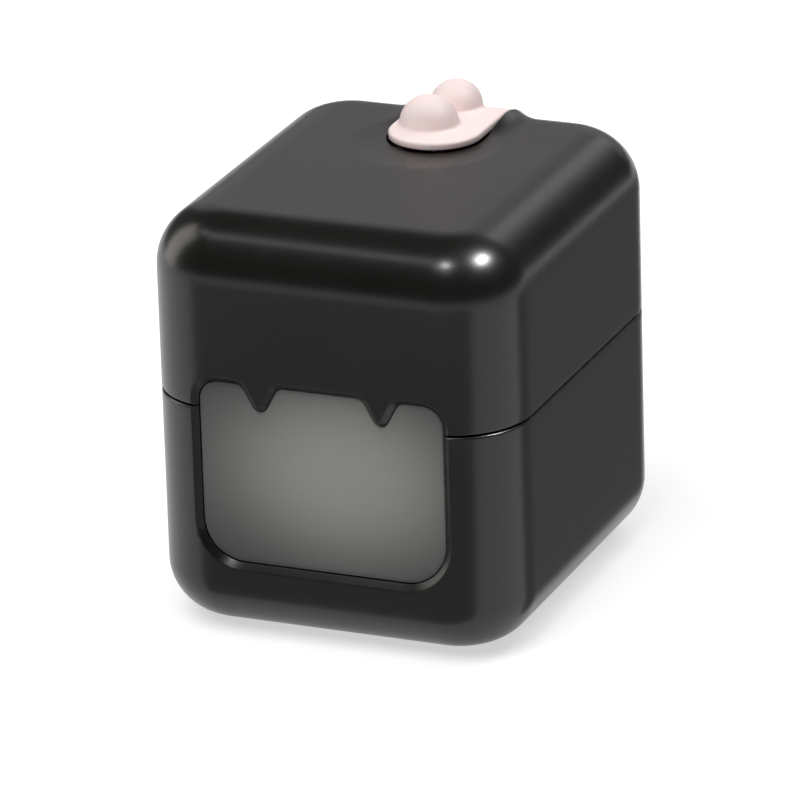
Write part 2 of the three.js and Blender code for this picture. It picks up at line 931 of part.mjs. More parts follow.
function lidSolid() {
  const walls = outerLid.subtract(lidCavity)
    .subtract(scoop())
    .subtract(barrelRoom(hinge.splitReach, hinge.outerReach))
    .subtract(barrelRoom(0, hinge.innerReach));
  const pan = wellBlock(well.gap + well.wall, wellFloor - well.wall, bodyTop - body.wall / 2);
  const pocket = upright(
    pocketRadius + tabSpring.pocketWall,
    0,
    springY,
    pocketFloor - tabSpring.pocketWall,
    wellFloor,
  );
  const inner = joined([pan, pocket, pinBosses(), stopBar()]).intersect(outerLid);
  const added = joined([walls, inner, cheekSolid(-1), cheekSolid(1), lidBarrels()]);
  const slotRear = turnCentreY + turnRadius * Math.sin(tab.rearTurn) + well.gap;
  const slot = box(
    -slotHalfWidth,
    slotHalfWidth,
    pivotY - tab.joinFromPivot - well.gap,
    slotRear,
    bodyTop - well.slotDepth,
    bodyTop + overrun + cheek.height,
  );
  const pinEnd = slotHalfWidth + tabPin.bossWidth - tabPin.endGap;
  return added
    .subtract(wellBlock(well.gap, wellFloor, bodyTop + overrun + cheek.height))
    .subtract(upright(pocketRadius, 0, springY, pocketFloor, wellFloor + overrun))
    .subtract(slot.subtract(stopBar()))
    .subtract(crosswise(tabPin.radius + seatGap, -pinEnd, pinEnd, pivotY, pivotZ))
    .subtract(hingeBore())
    .subtract(windowHole);
}

// Springs

function coilPoints(turns, radius, rise, place) {
  const points = [];
  const steps = Math.round(turns * facets.turn);
  for (let step = 0; step <= steps; step += 1) {
    const angle = (step / facets.turn) * 4 * quarterTurn;
    points.push(place(radius * Math.cos(angle), radius * Math.sin(angle), rise * (step / steps)));
  }
  return points;
}

function tabSpringGeometry() {
  const low = pocketFloor + seatGap + tabSpring.wire;
  const high = tabTop - tab.plate - seatGap - tabSpring.wire;
  const points = coilPoints(
    tabSpring.turns,
    tabSpring.coilRadius,
    high - low,
    (x, y, rise) => new THREE.Vector3(x, springY + y, low + rise),
  );
  console.log('tab spring least gap', leastGap(points, tabSpring.wire).toFixed(2));
  return wireAlong(points, tabSpring.wire, 1);
}

function hingeSpringGeometry() {
  const length = hingeSpring.turns * hingeSpring.pitch;
  const points = coilPoints(
    hingeSpring.turns,
    hingeSpring.coilRadius,
    length,
    (y, z, rise) => new THREE.Vector3(rise - length / 2, hingeY + y, seamZ + z),
  );
  console.log('hinge spring least gap', leastGap(points, hingeSpring.wire).toFixed(2));
  const legY = hingeY + hingeSpring.coilRadius;
  points.unshift(new THREE.Vector3(-length / 2, legY, seamZ - hingeSpring.legLength));
  points.push(new THREE.Vector3(length / 2, legY, seamZ + hingeSpring.legLength));
  return wireAlong(points, hingeSpring.wire, 1);
}

// Assembly

const materials = {
  black: { color: 0x202022, roughness: 0.42, metalness: 0 },
  frosted: { color: 0x9aa09c, roughness: 0.55, metalness: 0 },
  pink: { color: 0xf3cfca, roughness: 0.5, metalness: 0 },
  steel: { color: 0xb8bcc0, roughness: 0.3, metalness: 1 },
  rubber: { color: 0x1a1a1a, roughness: 0.9, metalness: 0 },
};

const part = new THREE.Group();
part.name = 'cotton_pad_travel_case';
part.position.y = -(hingeY + hinge.ledgeReach - halfDepth) / 2;

function add(name, geometry, material) {
  const mesh = new THREE.Mesh(geometry, new THREE.MeshStandardMaterial(materials[material]));
  mesh.name = name;
  part.add(mesh);
  return mesh;
}

add('base_shell', toGeometry(baseSolid()), 'black');
add('inner_cup', toGeometry(cupSolid()), 'frosted');
add('lid_shell', toGeometry(lidSolid()), 'black');
add('press_tab', toGeometry(tabSolid()), 'pink');
add('catch_leaf', toGeometry(leafSolid()), 'steel');

const hingePinEnd = hinge.outerReach - hinge.endGap;
add(
  'hinge_pin',
  toGeometry(crosswise(hinge.pinRadius, -hingePinEnd, hingePinEnd, hingeY, seamZ)),
  'steel',
);

const tabPinEnd = slotHalfWidth + tabPin.bossWidth - tabPin.endGap - seatGap;
add(
  'tab_pin',
  toGeometry(crosswise(tabPin.radius, -tabPinEnd, tabPinEnd, pivotY, pivotZ)),
  'steel',
);

add('tab_spring', tabSpringGeometry(), 'steel');
add('hinge_spring', hingeSpringGeometry(), 'steel');

for (const [name, signX, signY] of footPlaces) {
  const mesh = add(name, footGeometry(), 'rubber');
  mesh.position.set(signX * footAcross, signY * footAlong, 0);
}

export default part;
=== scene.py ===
"""Looks of the cotton pad travel case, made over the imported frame.

Shapes are worked out in millimetres with numpy, as surfaces of two parameters, in the frame
of the solids before their shift to the middle: +X to the right seen from the window, -Y out
of the window, +Z up. Each piece becomes metres as it is finished.
"""

from __future__ import annotations

import json
import logging
import math
from dataclasses import dataclass, field
from enum import Enum

import bmesh
import bpy
import numpy as np
from mathutils import Matrix, Vector

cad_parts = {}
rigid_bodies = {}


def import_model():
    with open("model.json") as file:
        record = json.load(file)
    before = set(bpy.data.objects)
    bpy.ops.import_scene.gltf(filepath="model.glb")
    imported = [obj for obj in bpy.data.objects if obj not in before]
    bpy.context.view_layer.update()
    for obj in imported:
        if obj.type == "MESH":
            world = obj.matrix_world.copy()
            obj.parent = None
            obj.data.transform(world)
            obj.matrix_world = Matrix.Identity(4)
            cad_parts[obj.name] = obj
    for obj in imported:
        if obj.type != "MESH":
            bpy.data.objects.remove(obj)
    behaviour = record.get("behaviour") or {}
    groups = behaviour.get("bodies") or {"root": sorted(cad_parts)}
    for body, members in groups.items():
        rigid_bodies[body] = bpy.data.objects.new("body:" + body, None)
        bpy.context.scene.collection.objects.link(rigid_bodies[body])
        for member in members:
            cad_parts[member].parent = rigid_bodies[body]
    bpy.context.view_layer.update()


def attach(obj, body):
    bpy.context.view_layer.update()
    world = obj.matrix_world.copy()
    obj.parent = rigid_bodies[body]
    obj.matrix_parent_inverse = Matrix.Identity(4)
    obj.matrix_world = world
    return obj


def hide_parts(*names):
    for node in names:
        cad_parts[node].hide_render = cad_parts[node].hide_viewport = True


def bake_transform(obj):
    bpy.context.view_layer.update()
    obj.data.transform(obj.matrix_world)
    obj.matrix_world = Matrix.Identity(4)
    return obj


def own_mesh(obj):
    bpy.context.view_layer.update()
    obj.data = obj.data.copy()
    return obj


LOG = logging.getLogger("travel_case")
METRES_PER_MILLIMETRE = 0.001
SHARP_ANGLE = math.radians(32.0)
WHITE = (1.0, 1.0, 1.0, 1.0)
TONE_RANGE = {"From Min": 0.3, "From Max": 0.7}


class Combine(Enum):
    """Ways in which one closed shape changes another."""

    ADD = "UNION"
    CUT = "DIFFERENCE"
    KEEP = "INTERSECT"


class LampTask(Enum):
    """What a lamp does: light surfaces, show in them as a gleam, or both."""

    FILL = "fill"
    GLEAM = "gleam"
    BOTH = "both"


class Body(Enum):
    """Bodies of the frame that pieces ride on."""

    BASE = "base"
    LID = "lid"
    TAB = "tab"


@dataclass(frozen=True)
class CaseSizes:
    """Sizes that several pieces share, in millimetres."""

    width: float = 74.0
    depth: float = 86.0
    height: float = 82.0
    lid_height: float = 36.3
    stand: float = 0.6
    wall: float = 2.0
    floor: float = 2.4
    upright_radius: float = 15.0
    top_radius: float = 12.0
    bottom_radius: float = 11.0
    rim_round: float = 0.5
    seam_gap: float = 0.3
    tab_proud: float = 1.4
    tab_front: float = 9.5
    tab_half_width: float = 9.2
    pivot_from_rear: float = 7.5
    pivot_below: float = 4.2
    well_gap: float = 0.27
    hinge_behind: float = 0.8
    pin_radius: float = 0.9
    bore_gap: float = 0.12
    barrel_radius: float = 2.6
    barrel_gap: float = 0.35
    forward_shift: float = 2.5

    @property
    def half_width(self) -> float:
        """Half of the width."""
        return self.width / 2

    @property
    def half_depth(self) -> float:
        """Half of the depth."""
        return self.depth / 2

    @property
    def top(self) -> float:
        """Height of the lid's flat top."""
        return self.stand + self.height

    @property
    def seam(self) -> float:
        """Height of the middle of the seam."""
        return self.top - self.lid_height

    @property
    def base_rim(self) -> float:
        """Height of the base's rim."""
        return self.seam - self.seam_gap / 2

    @property
    def lid_rim(self) -> float:
        """Height of the lid's rim."""
        return self.seam + self.seam_gap / 2

    @property
    def hinge_y(self) -> float:
        """Place of the lid's hinge axis along Y."""
        return self.half_depth + self.hinge_behind

    @property
    def pivot_y(self) -> float:
        """Place of the tab's axis along Y."""
        return self.half_depth - self.pivot_from_rear

    @property
    def pivot_z(self) -> float:
        """Height of the tab's axis."""
        return self.top - self.pivot_below

    @property
    def tab_top(self) -> float:
        """Height of the tab's flat top."""
        return self.top + self.tab_proud

    @property
    def slot_half_width(self) -> float:
        """Half of the width of the slot that the tab lies in."""
        return self.tab_half_width + self.well_gap


# Surfaces


def arc_shares(steps: int) -> np.ndarray:
    """Equal shares of a quarter turn, from 0 to 1."""
    return np.linspace(0.0, 1.0, steps + 1)


def fillet_profile(
    inset_from: float, inset_to: float, z_from: float, z_to: float, steps: int, level_first: bool
) -> tuple[np.ndarray, np.ndarray]:
    """Quarter circle between two points of a profile.

    One of its ends runs along the level, the other straight up: the inset follows 1 - sine and
    the height 1 - cosine of the turn, or the other way about.

    Args:
        inset_from: Inset at the start.
        inset_to: Inset at the end.
        z_from: Height at the start.
        z_to: Height at the end.
        steps: Number of steps.
        level_first: Whether the start runs along the level.

    Returns:
        Insets and heights along the arc.
    """
    turn = arc_shares(steps) * math.pi / 2
    slow, quick = 1 - np.cos(turn), np.sin(turn)
    inset_share, z_share = (quick, slow) if level_first else (slow, quick)
    insets = inset_from + (inset_to - inset_from) * inset_share
    heights = z_from + (z_to - z_from) * z_share
    return insets, heights


def chain(*parts: tuple[np.ndarray | float, np.ndarray | float]) -> tuple[np.ndarray, np.ndarray]:
    """Joins pieces of a profile, and leaves out a point that repeats the one before it.

    Args:
        *parts: Pairs of insets and heights, of arrays for a run or of numbers for one point.

    Returns:
        Insets and heights of the whole profile.
    """
    insets = np.concatenate([np.atleast_1d(part[0]) for part in parts])
    heights = np.concatenate([np.atleast_1d(part[1]) for part in parts])
    moved = np.hypot(np.diff(insets), np.diff(heights)) > 1e-6
    keep = np.concatenate([[True], moved])
    return insets[keep], heights[keep]


def straight(inset: float, z_from: float, z_to: float, spacing: float) -> tuple[np.ndarray, np.ndarray]:
    """Upright part of a profile, with points about one spacing apart.

    Args:
        inset: Inset of the whole part.
        z_from: Height at the start.
        z_to: Height at the end.
        spacing: Wanted distance between points.

    Returns:
        Insets and heights.
    """
    steps = max(round(abs(z_to - z_from) / spacing), 1)
    heights = np.linspace(z_from, z_to, steps + 1)
    return np.full_like(heights, inset), heights


@dataclass(frozen=True)
class BoxPlan:
    """Plan of a box with round upright edges, and where its rings have points.

    A ring's point is the end of the straight side nearest to it, taken from half minus corner,
    plus the direction outwards times corner minus inset, so every ring has the same points.
    """

    half_x: float
    half_y: float
    corner: float
    across: np.ndarray
    along: np.ndarray
    corner_steps: int = 20

    def directions(self) -> tuple[np.ndarray, np.ndarray]:
        """Shares along the straight sides and directions outwards, once round.

        Returns:
            Two arrays of pairs, one pair for each point of a ring.
        """
        turns = np.linspace(0.0, math.pi / 2, self.corner_steps + 1)[:-1]
        shares, outwards = [], []
        sides = [
            (self.along[:-1], 1.0, True),
            (self.across[::-1][:-1], 1.0, False),
            (self.along[::-1][:-1], -1.0, True),
            (self.across[:-1], -1.0, False),
        ]
        ends = [(1.0, 1.0), (-1.0, 1.0), (-1.0, -1.0), (1.0, -1.0)]
        for index, ((run, side, upright_side), end) in enumerate(zip(sides, ends)):
            fixed = np.full_like(run, side)
            zero = np.zeros_like(run)
            if upright_side:
                shares.append(np.stack([fixed, run], -1))
                outwards.append(np.stack([fixed, zero], -1))
            else:
                shares.append(np.stack([run, fixed], -1))
                outwards.append(np.stack([zero, fixed], -1))
            angle = turns + index * math.pi / 2
            shares.append(np.broadcast_to(np.array(end), (angle.size, 2)))
            outwards.append(np.stack([np.cos(angle), np.sin(angle)], -1))
        return np.concatenate(shares), np.concatenate(outwards)

    def grids(self, insets: np.ndarray, heights: np.ndarray) -> list[np.ndarray]:
        """Rings at the given insets and heights, and the two grids that close the ends.

        Args:
            insets: Distance that each ring lies inside the plan, first and last the corner.
            heights: Height of each ring.

        Returns:
            Grids of points: the rings first, then the two end caps.
        """
        shares, outwards = self.directions()
        core = np.array([self.half_x - self.corner, self.half_y - self.corner])
        reach = (self.corner - insets)[:, None, None]
        flat = shares[None] * core + outwards[None] * reach
        level = np.broadcast_to(heights[:, None, None], flat.shape[:2] + (1,))
        rings = np.concatenate([flat, level], -1)
        caps = []
        for height in (heights[0], heights[-1]):
            x, y = np.meshgrid(self.across * core[0], self.along * core[1], indexing="ij")
            caps.append(np.stack([x, y, np.full_like(x, height)], -1))
        return [rings, *caps]


def even_shares(steps: int) -> np.ndarray:
    """Equally spaced shares from -1 to 1."""
    return np.linspace(-1.0, 1.0, steps + 1)


def both_sides(near: float, far: float) -> list[tuple[float, float]]:
    """Ends along X of what lies between two distances from the middle, left and right."""
    return [(-far, -near), (near, far)]


def turned(radii: np.ndarray, heights: np.ndarray, steps: int = 48) -> np.ndarray:
    """Profile carried once round the Z axis.

    Args:
        radii: Radius of each ring, nought at both ends for a closed shape.
        heights: Height of each ring.
        steps: Points round the axis.

    Returns:
        Grid of points, one row for each ring.
    """
    angle = np.linspace(0.0, 2 * math.pi, steps, endpoint=False)
    x = radii[:, None] * np.cos(angle)
    y = radii[:, None] * np.sin(angle)
    return np.stack([x, y, np.broadcast_to(heights[:, None], x.shape)], -1)


def laid_along_x(grid: np.ndarray) -> np.ndarray:
    """The same grid with its Z axis laid along X."""
    return grid[..., [2, 0, 1]]


def laid_along_y(grid: np.ndarray) -> np.ndarray:
    """The same grid with its Z axis laid along Y."""
    return grid[..., [1, 2, 0]]


def rod(radius: float, start: float, end: float, edge: float, steps: int = 48) -> np.ndarray:
    """Round rod along Z whose ends have small round edges.

    Args:
        radius: Radius of the rod.
        start: Lower end.
        end: Upper end.
        edge: Radius of the rounding at both ends.
        steps: Points round the axis.

    Returns:
        Grid of points, closed at both ends.
    """
    low = fillet_profile(edge, 0.0, start, start + edge, 4, True)
    high = fillet_profile(0.0, edge, end - edge, end, 4, False)
    insets, heights = chain((radius, start), low, high, (radius, end))
    return turned(radius - insets, heights, steps)


def inset_outline(outline: np.ndarray, amount: float) -> np.ndarray:
    """Outline moved inwards: each corner slides along the mean of its sides' normals.

    Args:
        outline: Closed outline as pairs, counter-clockwise.
        amount: Distance inwards.

    Returns:
        Outline with as many points.
    """
    ahead = np.roll(outline, -1, axis=0) - outline
    ahead /= np.linalg.norm(ahead, axis=1, keepdims=True)
    normal = np.stack([-ahead[:, 1], ahead[:, 0]], -1)
    before = np.roll(normal, 1, axis=0)
    slide = (normal + before) / (1 + np.sum(normal * before, axis=1, keepdims=True))
    return outline + amount * slide


def drawn_along_x(outline: np.ndarray, from_x: float, to_x: float, edge: float) -> np.ndarray:
    """Outline in Y and Z drawn out along X, with its end edges rounded.

    Args:
        outline: Closed outline as pairs of Y and Z, counter-clockwise.
        from_x: Left end.
        to_x: Right end.
        edge: Radius of the rounding at both ends.

    Returns:
        Grid of points whose first and last rows close the ends.
    """
    low_inset, low_x = fillet_profile(edge, 0.0, from_x, from_x + edge, 3, True)
    high_inset, high_x = fillet_profile(0.0, edge, to_x - edge, to_x, 3, False)
    insets = np.concatenate([low_inset, high_inset])
    places = np.concatenate([low_x, high_x])
    rings = []
    for inset, place in zip(insets, places):
        ring = inset_outline(outline, inset)
        rings.append(np.column_stack([np.full(len(ring), place), ring]))
    return np.stack(rings)


def tube(route: np.ndarray, toward: np.ndarray, radius: float, sides: int = 14) -> np.ndarray:
    """Round wire along a route: a circle in the plane across the route at each of its points.

    Args:
        route: Points of the route.
        toward: A direction at each point that isn't along the route.
        radius: Radius of the wire.
        sides: Points round the wire.

    Returns:
        Grid of points, drawn to a point at both ends.
    """
    ahead = np.gradient(route, axis=0)
    ahead /= np.linalg.norm(ahead, axis=1, keepdims=True)
    first = toward - np.sum(toward * ahead, axis=1, keepdims=True) * ahead
    first /= np.linalg.norm(first, axis=1, keepdims=True)
    second = np.cross(ahead, first)
    angle = np.linspace(0.0, 2 * math.pi, sides, endpoint=False)
    circle = first[:, None] * np.cos(angle)[:, None] + second[:, None] * np.sin(angle)[:, None]
    rings = route[:, None] + radius * circle
    ends = [np.broadcast_to(route[index], rings[0].shape)[None] for index in (0, -1)]
    return np.concatenate([ends[0], rings, ends[1]])


# Meshes


def grid_faces(rows: int, columns: int, wraps: bool, first: int) -> np.ndarray:
    """Four-cornered faces of a grid of points.

    Args:
        rows: Number of rows.
        columns: Number of points in a row.
        wraps: Whether each row is a closed ring.
        first: Index of the grid's first point.

    Returns:
        Array of faces as four indices each.
    """
    row, column = np.meshgrid(
        np.arange(rows - 1), np.arange(columns if wraps else columns - 1), indexing="ij"
    )
    after = (column + 1) % columns
    corners = [row * columns + column, row * columns + after,
               (row + 1) * columns + after, (row + 1) * columns + column]
    return first + np.stack([corner.ravel() for corner in corners], -1)


def new_object(name: str, data: bpy.types.ID) -> bpy.types.Object:
    """Object with the given data, linked to the scene."""
    made = bpy.data.objects.new(name, data)
    bpy.context.scene.collection.objects.link(made)
    return made


def closed_object(
    name: str, rings: list[np.ndarray], sheets: list[np.ndarray], ends: list[np.ndarray]
) -> bpy.types.Object:
    """Closed object from grids whose edges meet, welded, with its faces turned outwards.

    Args:
        name: Name of the object.
        rings: Grids whose rows are closed rings.
        sheets: Grids whose rows are open.
        ends: Closed outlines that are filled with one face each.

    Returns:
        The object, in millimetres.
    """
    points, faces, count = [], [], 0
    for grids, wraps in ((rings, True), (sheets, False)):
        for grid in grids:
            rows, columns = grid.shape[:2]
            faces.extend(grid_faces(rows, columns, wraps, count).tolist())
            points.append(grid.reshape(-1, 3))
            count += rows * columns
    for outline in ends:
        faces.append(list(range(count, count + len(outline))))
        points.append(outline)
        count += len(outline)
    mesh = bpy.data.meshes.new(name)
    mesh.from_pydata(np.concatenate(points).tolist(), [], faces)
    edit = bmesh.new()
    edit.from_mesh(mesh)
    bmesh.ops.remove_doubles(edit, verts=edit.verts, dist=1e-4)
    bmesh.ops.dissolve_degenerate(edit, edges=edit.edges, dist=1e-5)
    bmesh.ops.recalc_face_normals(edit, faces=edit.faces)
    edit.to_mesh(mesh)
    edit.free()
    return new_object(name, mesh)


def box_object(name: str, plan: BoxPlan, insets: np.ndarray, heights: np.ndarray) -> bpy.types.Object:
    """Closed rounded box from its plan and profile."""
    rings, *caps = plan.grids(insets, heights)
    return closed_object(name, [rings], caps, [])


def soft_block(
    x: tuple[float, float], y: tuple[float, float], z: tuple[float, float], edge: float = 0.3
) -> bpy.types.Object:
    """Block with all its edges rounded.

    Args:
        x: Its ends along X.
        y: Its ends along Y.
        z: Its ends along Z.
        edge: Radius of the rounding.

    Returns:
        The object, in millimetres.
    """
    low = fillet_profile(edge, 0.0, z[0], z[0] + edge, 3, True)
    high = fillet_profile(0.0, edge, z[1] - edge, z[1], 3, False)
    plan = BoxPlan((x[1] - x[0]) / 2, (y[1] - y[0]) / 2, edge, even_shares(2), even_shares(2), 3)
    grids = plan.grids(*chain(low, high))
    middle = np.array([(x[0] + x[1]) / 2, (y[0] + y[1]) / 2, 0.0])
    rings, *caps = [grid + middle for grid in grids]
    return closed_object("block", [rings], caps, [])


def cylinder(axis: str, radius: float, ends: tuple[float, float], middle: tuple[float, float],
             edge: float = 0.2) -> bpy.types.Object:
    """Round rod along one axis.

    Args:
        axis: X, Y or Z.
        radius: Radius of the rod.
        ends: Its ends along the axis.
        middle: Its place on the other two axes, in the order of the alphabet.
        edge: Radius of the rounding at its ends.

    Returns:
        The object, in millimetres.
    """
    grid = rod(radius, ends[0], ends[1], edge, 64)
    if axis == "X":
        grid = laid_along_x(grid) + np.array([0.0, middle[0], middle[1]])
    elif axis == "Y":
        grid = laid_along_y(grid) + np.array([middle[0], 0.0, middle[1]])
    else:
        grid = grid + np.array([middle[0], middle[1], 0.0])
    return closed_object("rod", [grid], [], [])


def profile_object(outline: list[tuple[float, float]], x: tuple[float, float],
                   edge: float = 0.25) -> bpy.types.Object:
    """Outline in Y and Z drawn out along X, as a closed object."""
    grid = drawn_along_x(np.array(outline), x[0], x[1], edge)
    return closed_object("profile", [grid], [], [grid[0], grid[-1]])


def combine(body: bpy.types.Object, how: Combine, *tools: bpy.types.Object) -> bpy.types.Object:
    """Changes a closed shape by others, one after another, and removes those.

    Args:
        body: Shape that is changed.
        how: Whether the others are added or cut away, or what they share with it is kept.
        *tools: The other shapes.

    Returns:
        The changed shape.
    """
    for tool in tools:
        change = body.modifiers.new("combine", "BOOLEAN")
        change.operation = how.value
        change.solver = "EXACT"
        change.object = tool
        graph = bpy.context.evaluated_depsgraph_get()
        made = bpy.data.meshes.new_from_object(body.evaluated_get(graph), depsgraph=graph)
        body.modifiers.clear()
        old = body.data
        body.data = made
        bpy.data.meshes.remove(old)
        spent = tool.data
        bpy.data.objects.remove(tool)
        bpy.data.meshes.remove(spent)
    return body


def present(
    piece: bpy.types.Object, node: str, sizes: CaseSizes, finish: Finish, body: Body | None
) -> None:
    """Turns a piece to metres at its place, smooths and dresses it, and lets it stand for its node.

    Args:
        piece: The piece, in millimetres.
        node: Node of the frame that it stands for.
        sizes: Shared sizes.
        finish: Its finish.
        body: Body that it rides on, or none for a piece between two bodies.
    """
    name = node + "_fine"
    piece.name = name
    piece.data.name = name
    place = Matrix.Scale(METRES_PER_MILLIMETRE, 4) @ Matrix.Translation((0, -sizes.forward_shift, 0))
    piece.data.transform(place)
    piece.data.shade_smooth()
    piece.data.set_sharp_from_angle(angle=SHARP_ANGLE)
    finish.dress(piece)
    if body:
        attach(piece, body.value)
    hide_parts(node)
    LOG.info("%s: %d faces", piece.name, len(piece.data.polygons))


# Window


@dataclass(frozen=True)
class WindowOutline:
    """The opening in the front wall: round corners, and two pointed drips from its top."""

    sizes: CaseSizes
    from_side: float = 11.0
    sill: float = 13.6
    rise_above_seam: float = 6.65
    bottom_corner: float = 9.6
    top_corner: float = 5.5
    bevel: float = 1.2
    bevel_depth: float = 1.24
    pane_set_back: float = 1.3
    pane_gap: float = 0.16
    pane_edge: float = 0.3
    pane_root: float = 3.45
    drip_place_share: float = 0.47
    drip_drop: float = 5.15
    drip_tip: float = 0.3
    drip_shoulder: float = 3.35
    drip_lean: float = math.radians(28)
    arc_steps: int = 14
    side_steps: int = 16

    @property
    def half_width(self) -> float:
        """Half of the opening's width."""
        return self.sizes.half_width - self.from_side

    @property
    def top(self) -> float:
        """Height of the opening's upper edge."""
        return self.sizes.seam + self.rise_above_seam

    @property
    def bottom(self) -> float:
        """Height of the opening's lower edge."""
        return self.sizes.stand + self.sill

    def drip_arcs(self, middle: float) -> list[tuple[float, ...]]:
        """Three arcs of one drip, from right to left: shoulder, tip, shoulder.

        Args:
            middle: Place of the drip along X.

        Returns:
            For each arc its centre, radius, sign of an inset, and its two angles.
        """
        quarter = math.pi / 2
        side = 2 * quarter - self.drip_lean
        other = 2 * quarter - side
        tip_z = self.top - self.drip_drop + self.drip_tip
        shoulder_z = self.top - self.drip_shoulder
        reach = self.drip_tip + self.drip_shoulder + (shoulder_z - tip_z) * math.sin(side)
        aside = reach / -math.cos(side)
        return [
            (middle + aside, shoulder_z, self.drip_shoulder, -1.0, quarter, side),
            (middle, tip_z, self.drip_tip, 1.0, side + 2 * quarter, other + 2 * quarter),
            (middle - aside, shoulder_z, self.drip_shoulder, -1.0, other, quarter),
        ]

    def points(self, inset: float) -> np.ndarray:
        """The outline moved into the opening: arcs joined by straight sides.

        Args:
            inset: Distance inwards.

        Returns:
            Pairs of X and Z, counter-clockwise seen from the front.
        """
        quarter = math.pi / 2
        low_x = self.half_width - self.bottom_corner
        low_z = self.bottom + self.bottom_corner
        high_x = self.half_width - self.top_corner
        high_z = self.top - self.top_corner
        drip = self.drip_place_share * self.half_width
        arcs = np.array([
            (-low_x, low_z, self.bottom_corner, -1.0, 2 * quarter, 3 * quarter),
            (low_x, low_z, self.bottom_corner, -1.0, 3 * quarter, 4 * quarter),
            (high_x, high_z, self.top_corner, -1.0, 0.0, quarter),
            *self.drip_arcs(drip),
            *self.drip_arcs(-drip),
            (-high_x, high_z, self.top_corner, -1.0, quarter, 2 * quarter),
        ])
        share = np.linspace(0.0, 1.0, self.arc_steps + 1)
        angle = arcs[:, 4:5] + (arcs[:, 5:6] - arcs[:, 4:5]) * share
        radius = np.maximum(arcs[:, 2:3] + arcs[:, 3:4] * inset, 0.03)
        bend = np.stack([arcs[:, 0:1] + radius * np.cos(angle),
                         arcs[:, 1:2] + radius * np.sin(angle)], -1)
        run = np.linspace(0.0, 1.0, self.side_steps + 1)[1:-1, None]
        after = np.roll(bend, -1, axis=0)[:, :1]
        side = bend[:, -1:] + (after - bend[:, -1:]) * run
        return np.concatenate([bend, side], axis=1).reshape(-1, 2)

    def front_face(self, x: np.ndarray, depth_in: float) -> np.ndarray:
        """The front wall's face across the box, which falls back round the upright edges.

        Args:
            x: Places across the box.
            depth_in: Distance behind the outer face.

        Returns:
            Places along Y.
        """
        radius = self.sizes.upright_radius
        past = np.maximum(np.abs(x) - (self.sizes.half_width - radius), 0.0)
        kept = np.sqrt(np.maximum((radius - depth_in) ** 2 - past**2, 0.0))
        return -self.sizes.half_depth + radius - kept

    def block(self, profile: list[tuple[float, float]], inner_y: float, outer_y: float) -> bpy.types.Object:
        """Block in the window's outline: its profile is carried once round.

        Args:
            profile: Pairs of an inset and a depth behind the outer face, from inside outwards.
            inner_y: Place of the flat inner end along Y.
            outer_y: Place of the flat outer end along Y.

        Returns:
            The object, in millimetres.
        """
        outlines = [self.points(inset) for inset, _ in profile]
        rings = [np.column_stack([outline[:, 0], self.front_face(outline[:, 0], depth), outline[:, 1]])
                 for outline, (_, depth) in zip(outlines, profile)]
        ends = [np.column_stack([outline[:, 0], np.full(len(outline), place), outline[:, 1]])
                for outline, place in ((outlines[0], inner_y), (outlines[-1], outer_y))]
        grid = np.stack([ends[0], *rings, ends[1]])
        return closed_object("window", [grid], [], [grid[0], grid[-1]])

    def cutter(self) -> bpy.types.Object:
        """Block that cuts the window: straight, then bevelled, then turning into the outer face."""
        slope = self.bevel / self.bevel_depth
        return self.block([
            (self.bevel, self.sizes.wall), (self.bevel, self.bevel_depth), (0.1 * slope, 0.1),
            (0.03, 0.04), (-0.06, 0.006), (-0.12, 0.0), (-0.5, -0.09),
        ], -34.0, -46.0)

    def pane(self) -> bpy.types.Object:
        """Pane that stands forward into the window, with a rounded edge.

        The block's profile turns in a quarter circle towards the pane's face, which is the
        part of a round-edged box at the pane's depth that lies inside it.

        Returns:
            The object, in millimetres.
        """
        inset = self.bevel + self.pane_gap
        turn = np.radians([0.0, 18.0, 36.0, 54.0, 70.0])
        insets = inset + self.pane_edge * (1 - np.cos(turn))
        depths = self.pane_set_back + self.pane_edge * (1 - np.sin(turn))
        profile = [(inset, self.pane_root), *zip(insets, depths),
                   (inset + 1.25 * self.pane_edge, self.pane_set_back - 0.06)]
        block = self.block(profile, -self.sizes.half_depth + self.pane_root, -46.0)
        corner = self.sizes.upright_radius - self.pane_set_back
        plan = BoxPlan(self.sizes.half_width - self.pane_set_back, self.sizes.half_depth - self.pane_set_back,
                       corner, even_shares(30), even_shares(4), 24)
        low, high = self.bottom - 2.0, self.top + 2.0
        profile = chain((corner, low), straight(0.0, low, high, 1.5), (corner, high))
        face = box_object("face", plan, *profile)
        return combine(block, Combine.KEEP, face)


# Shells


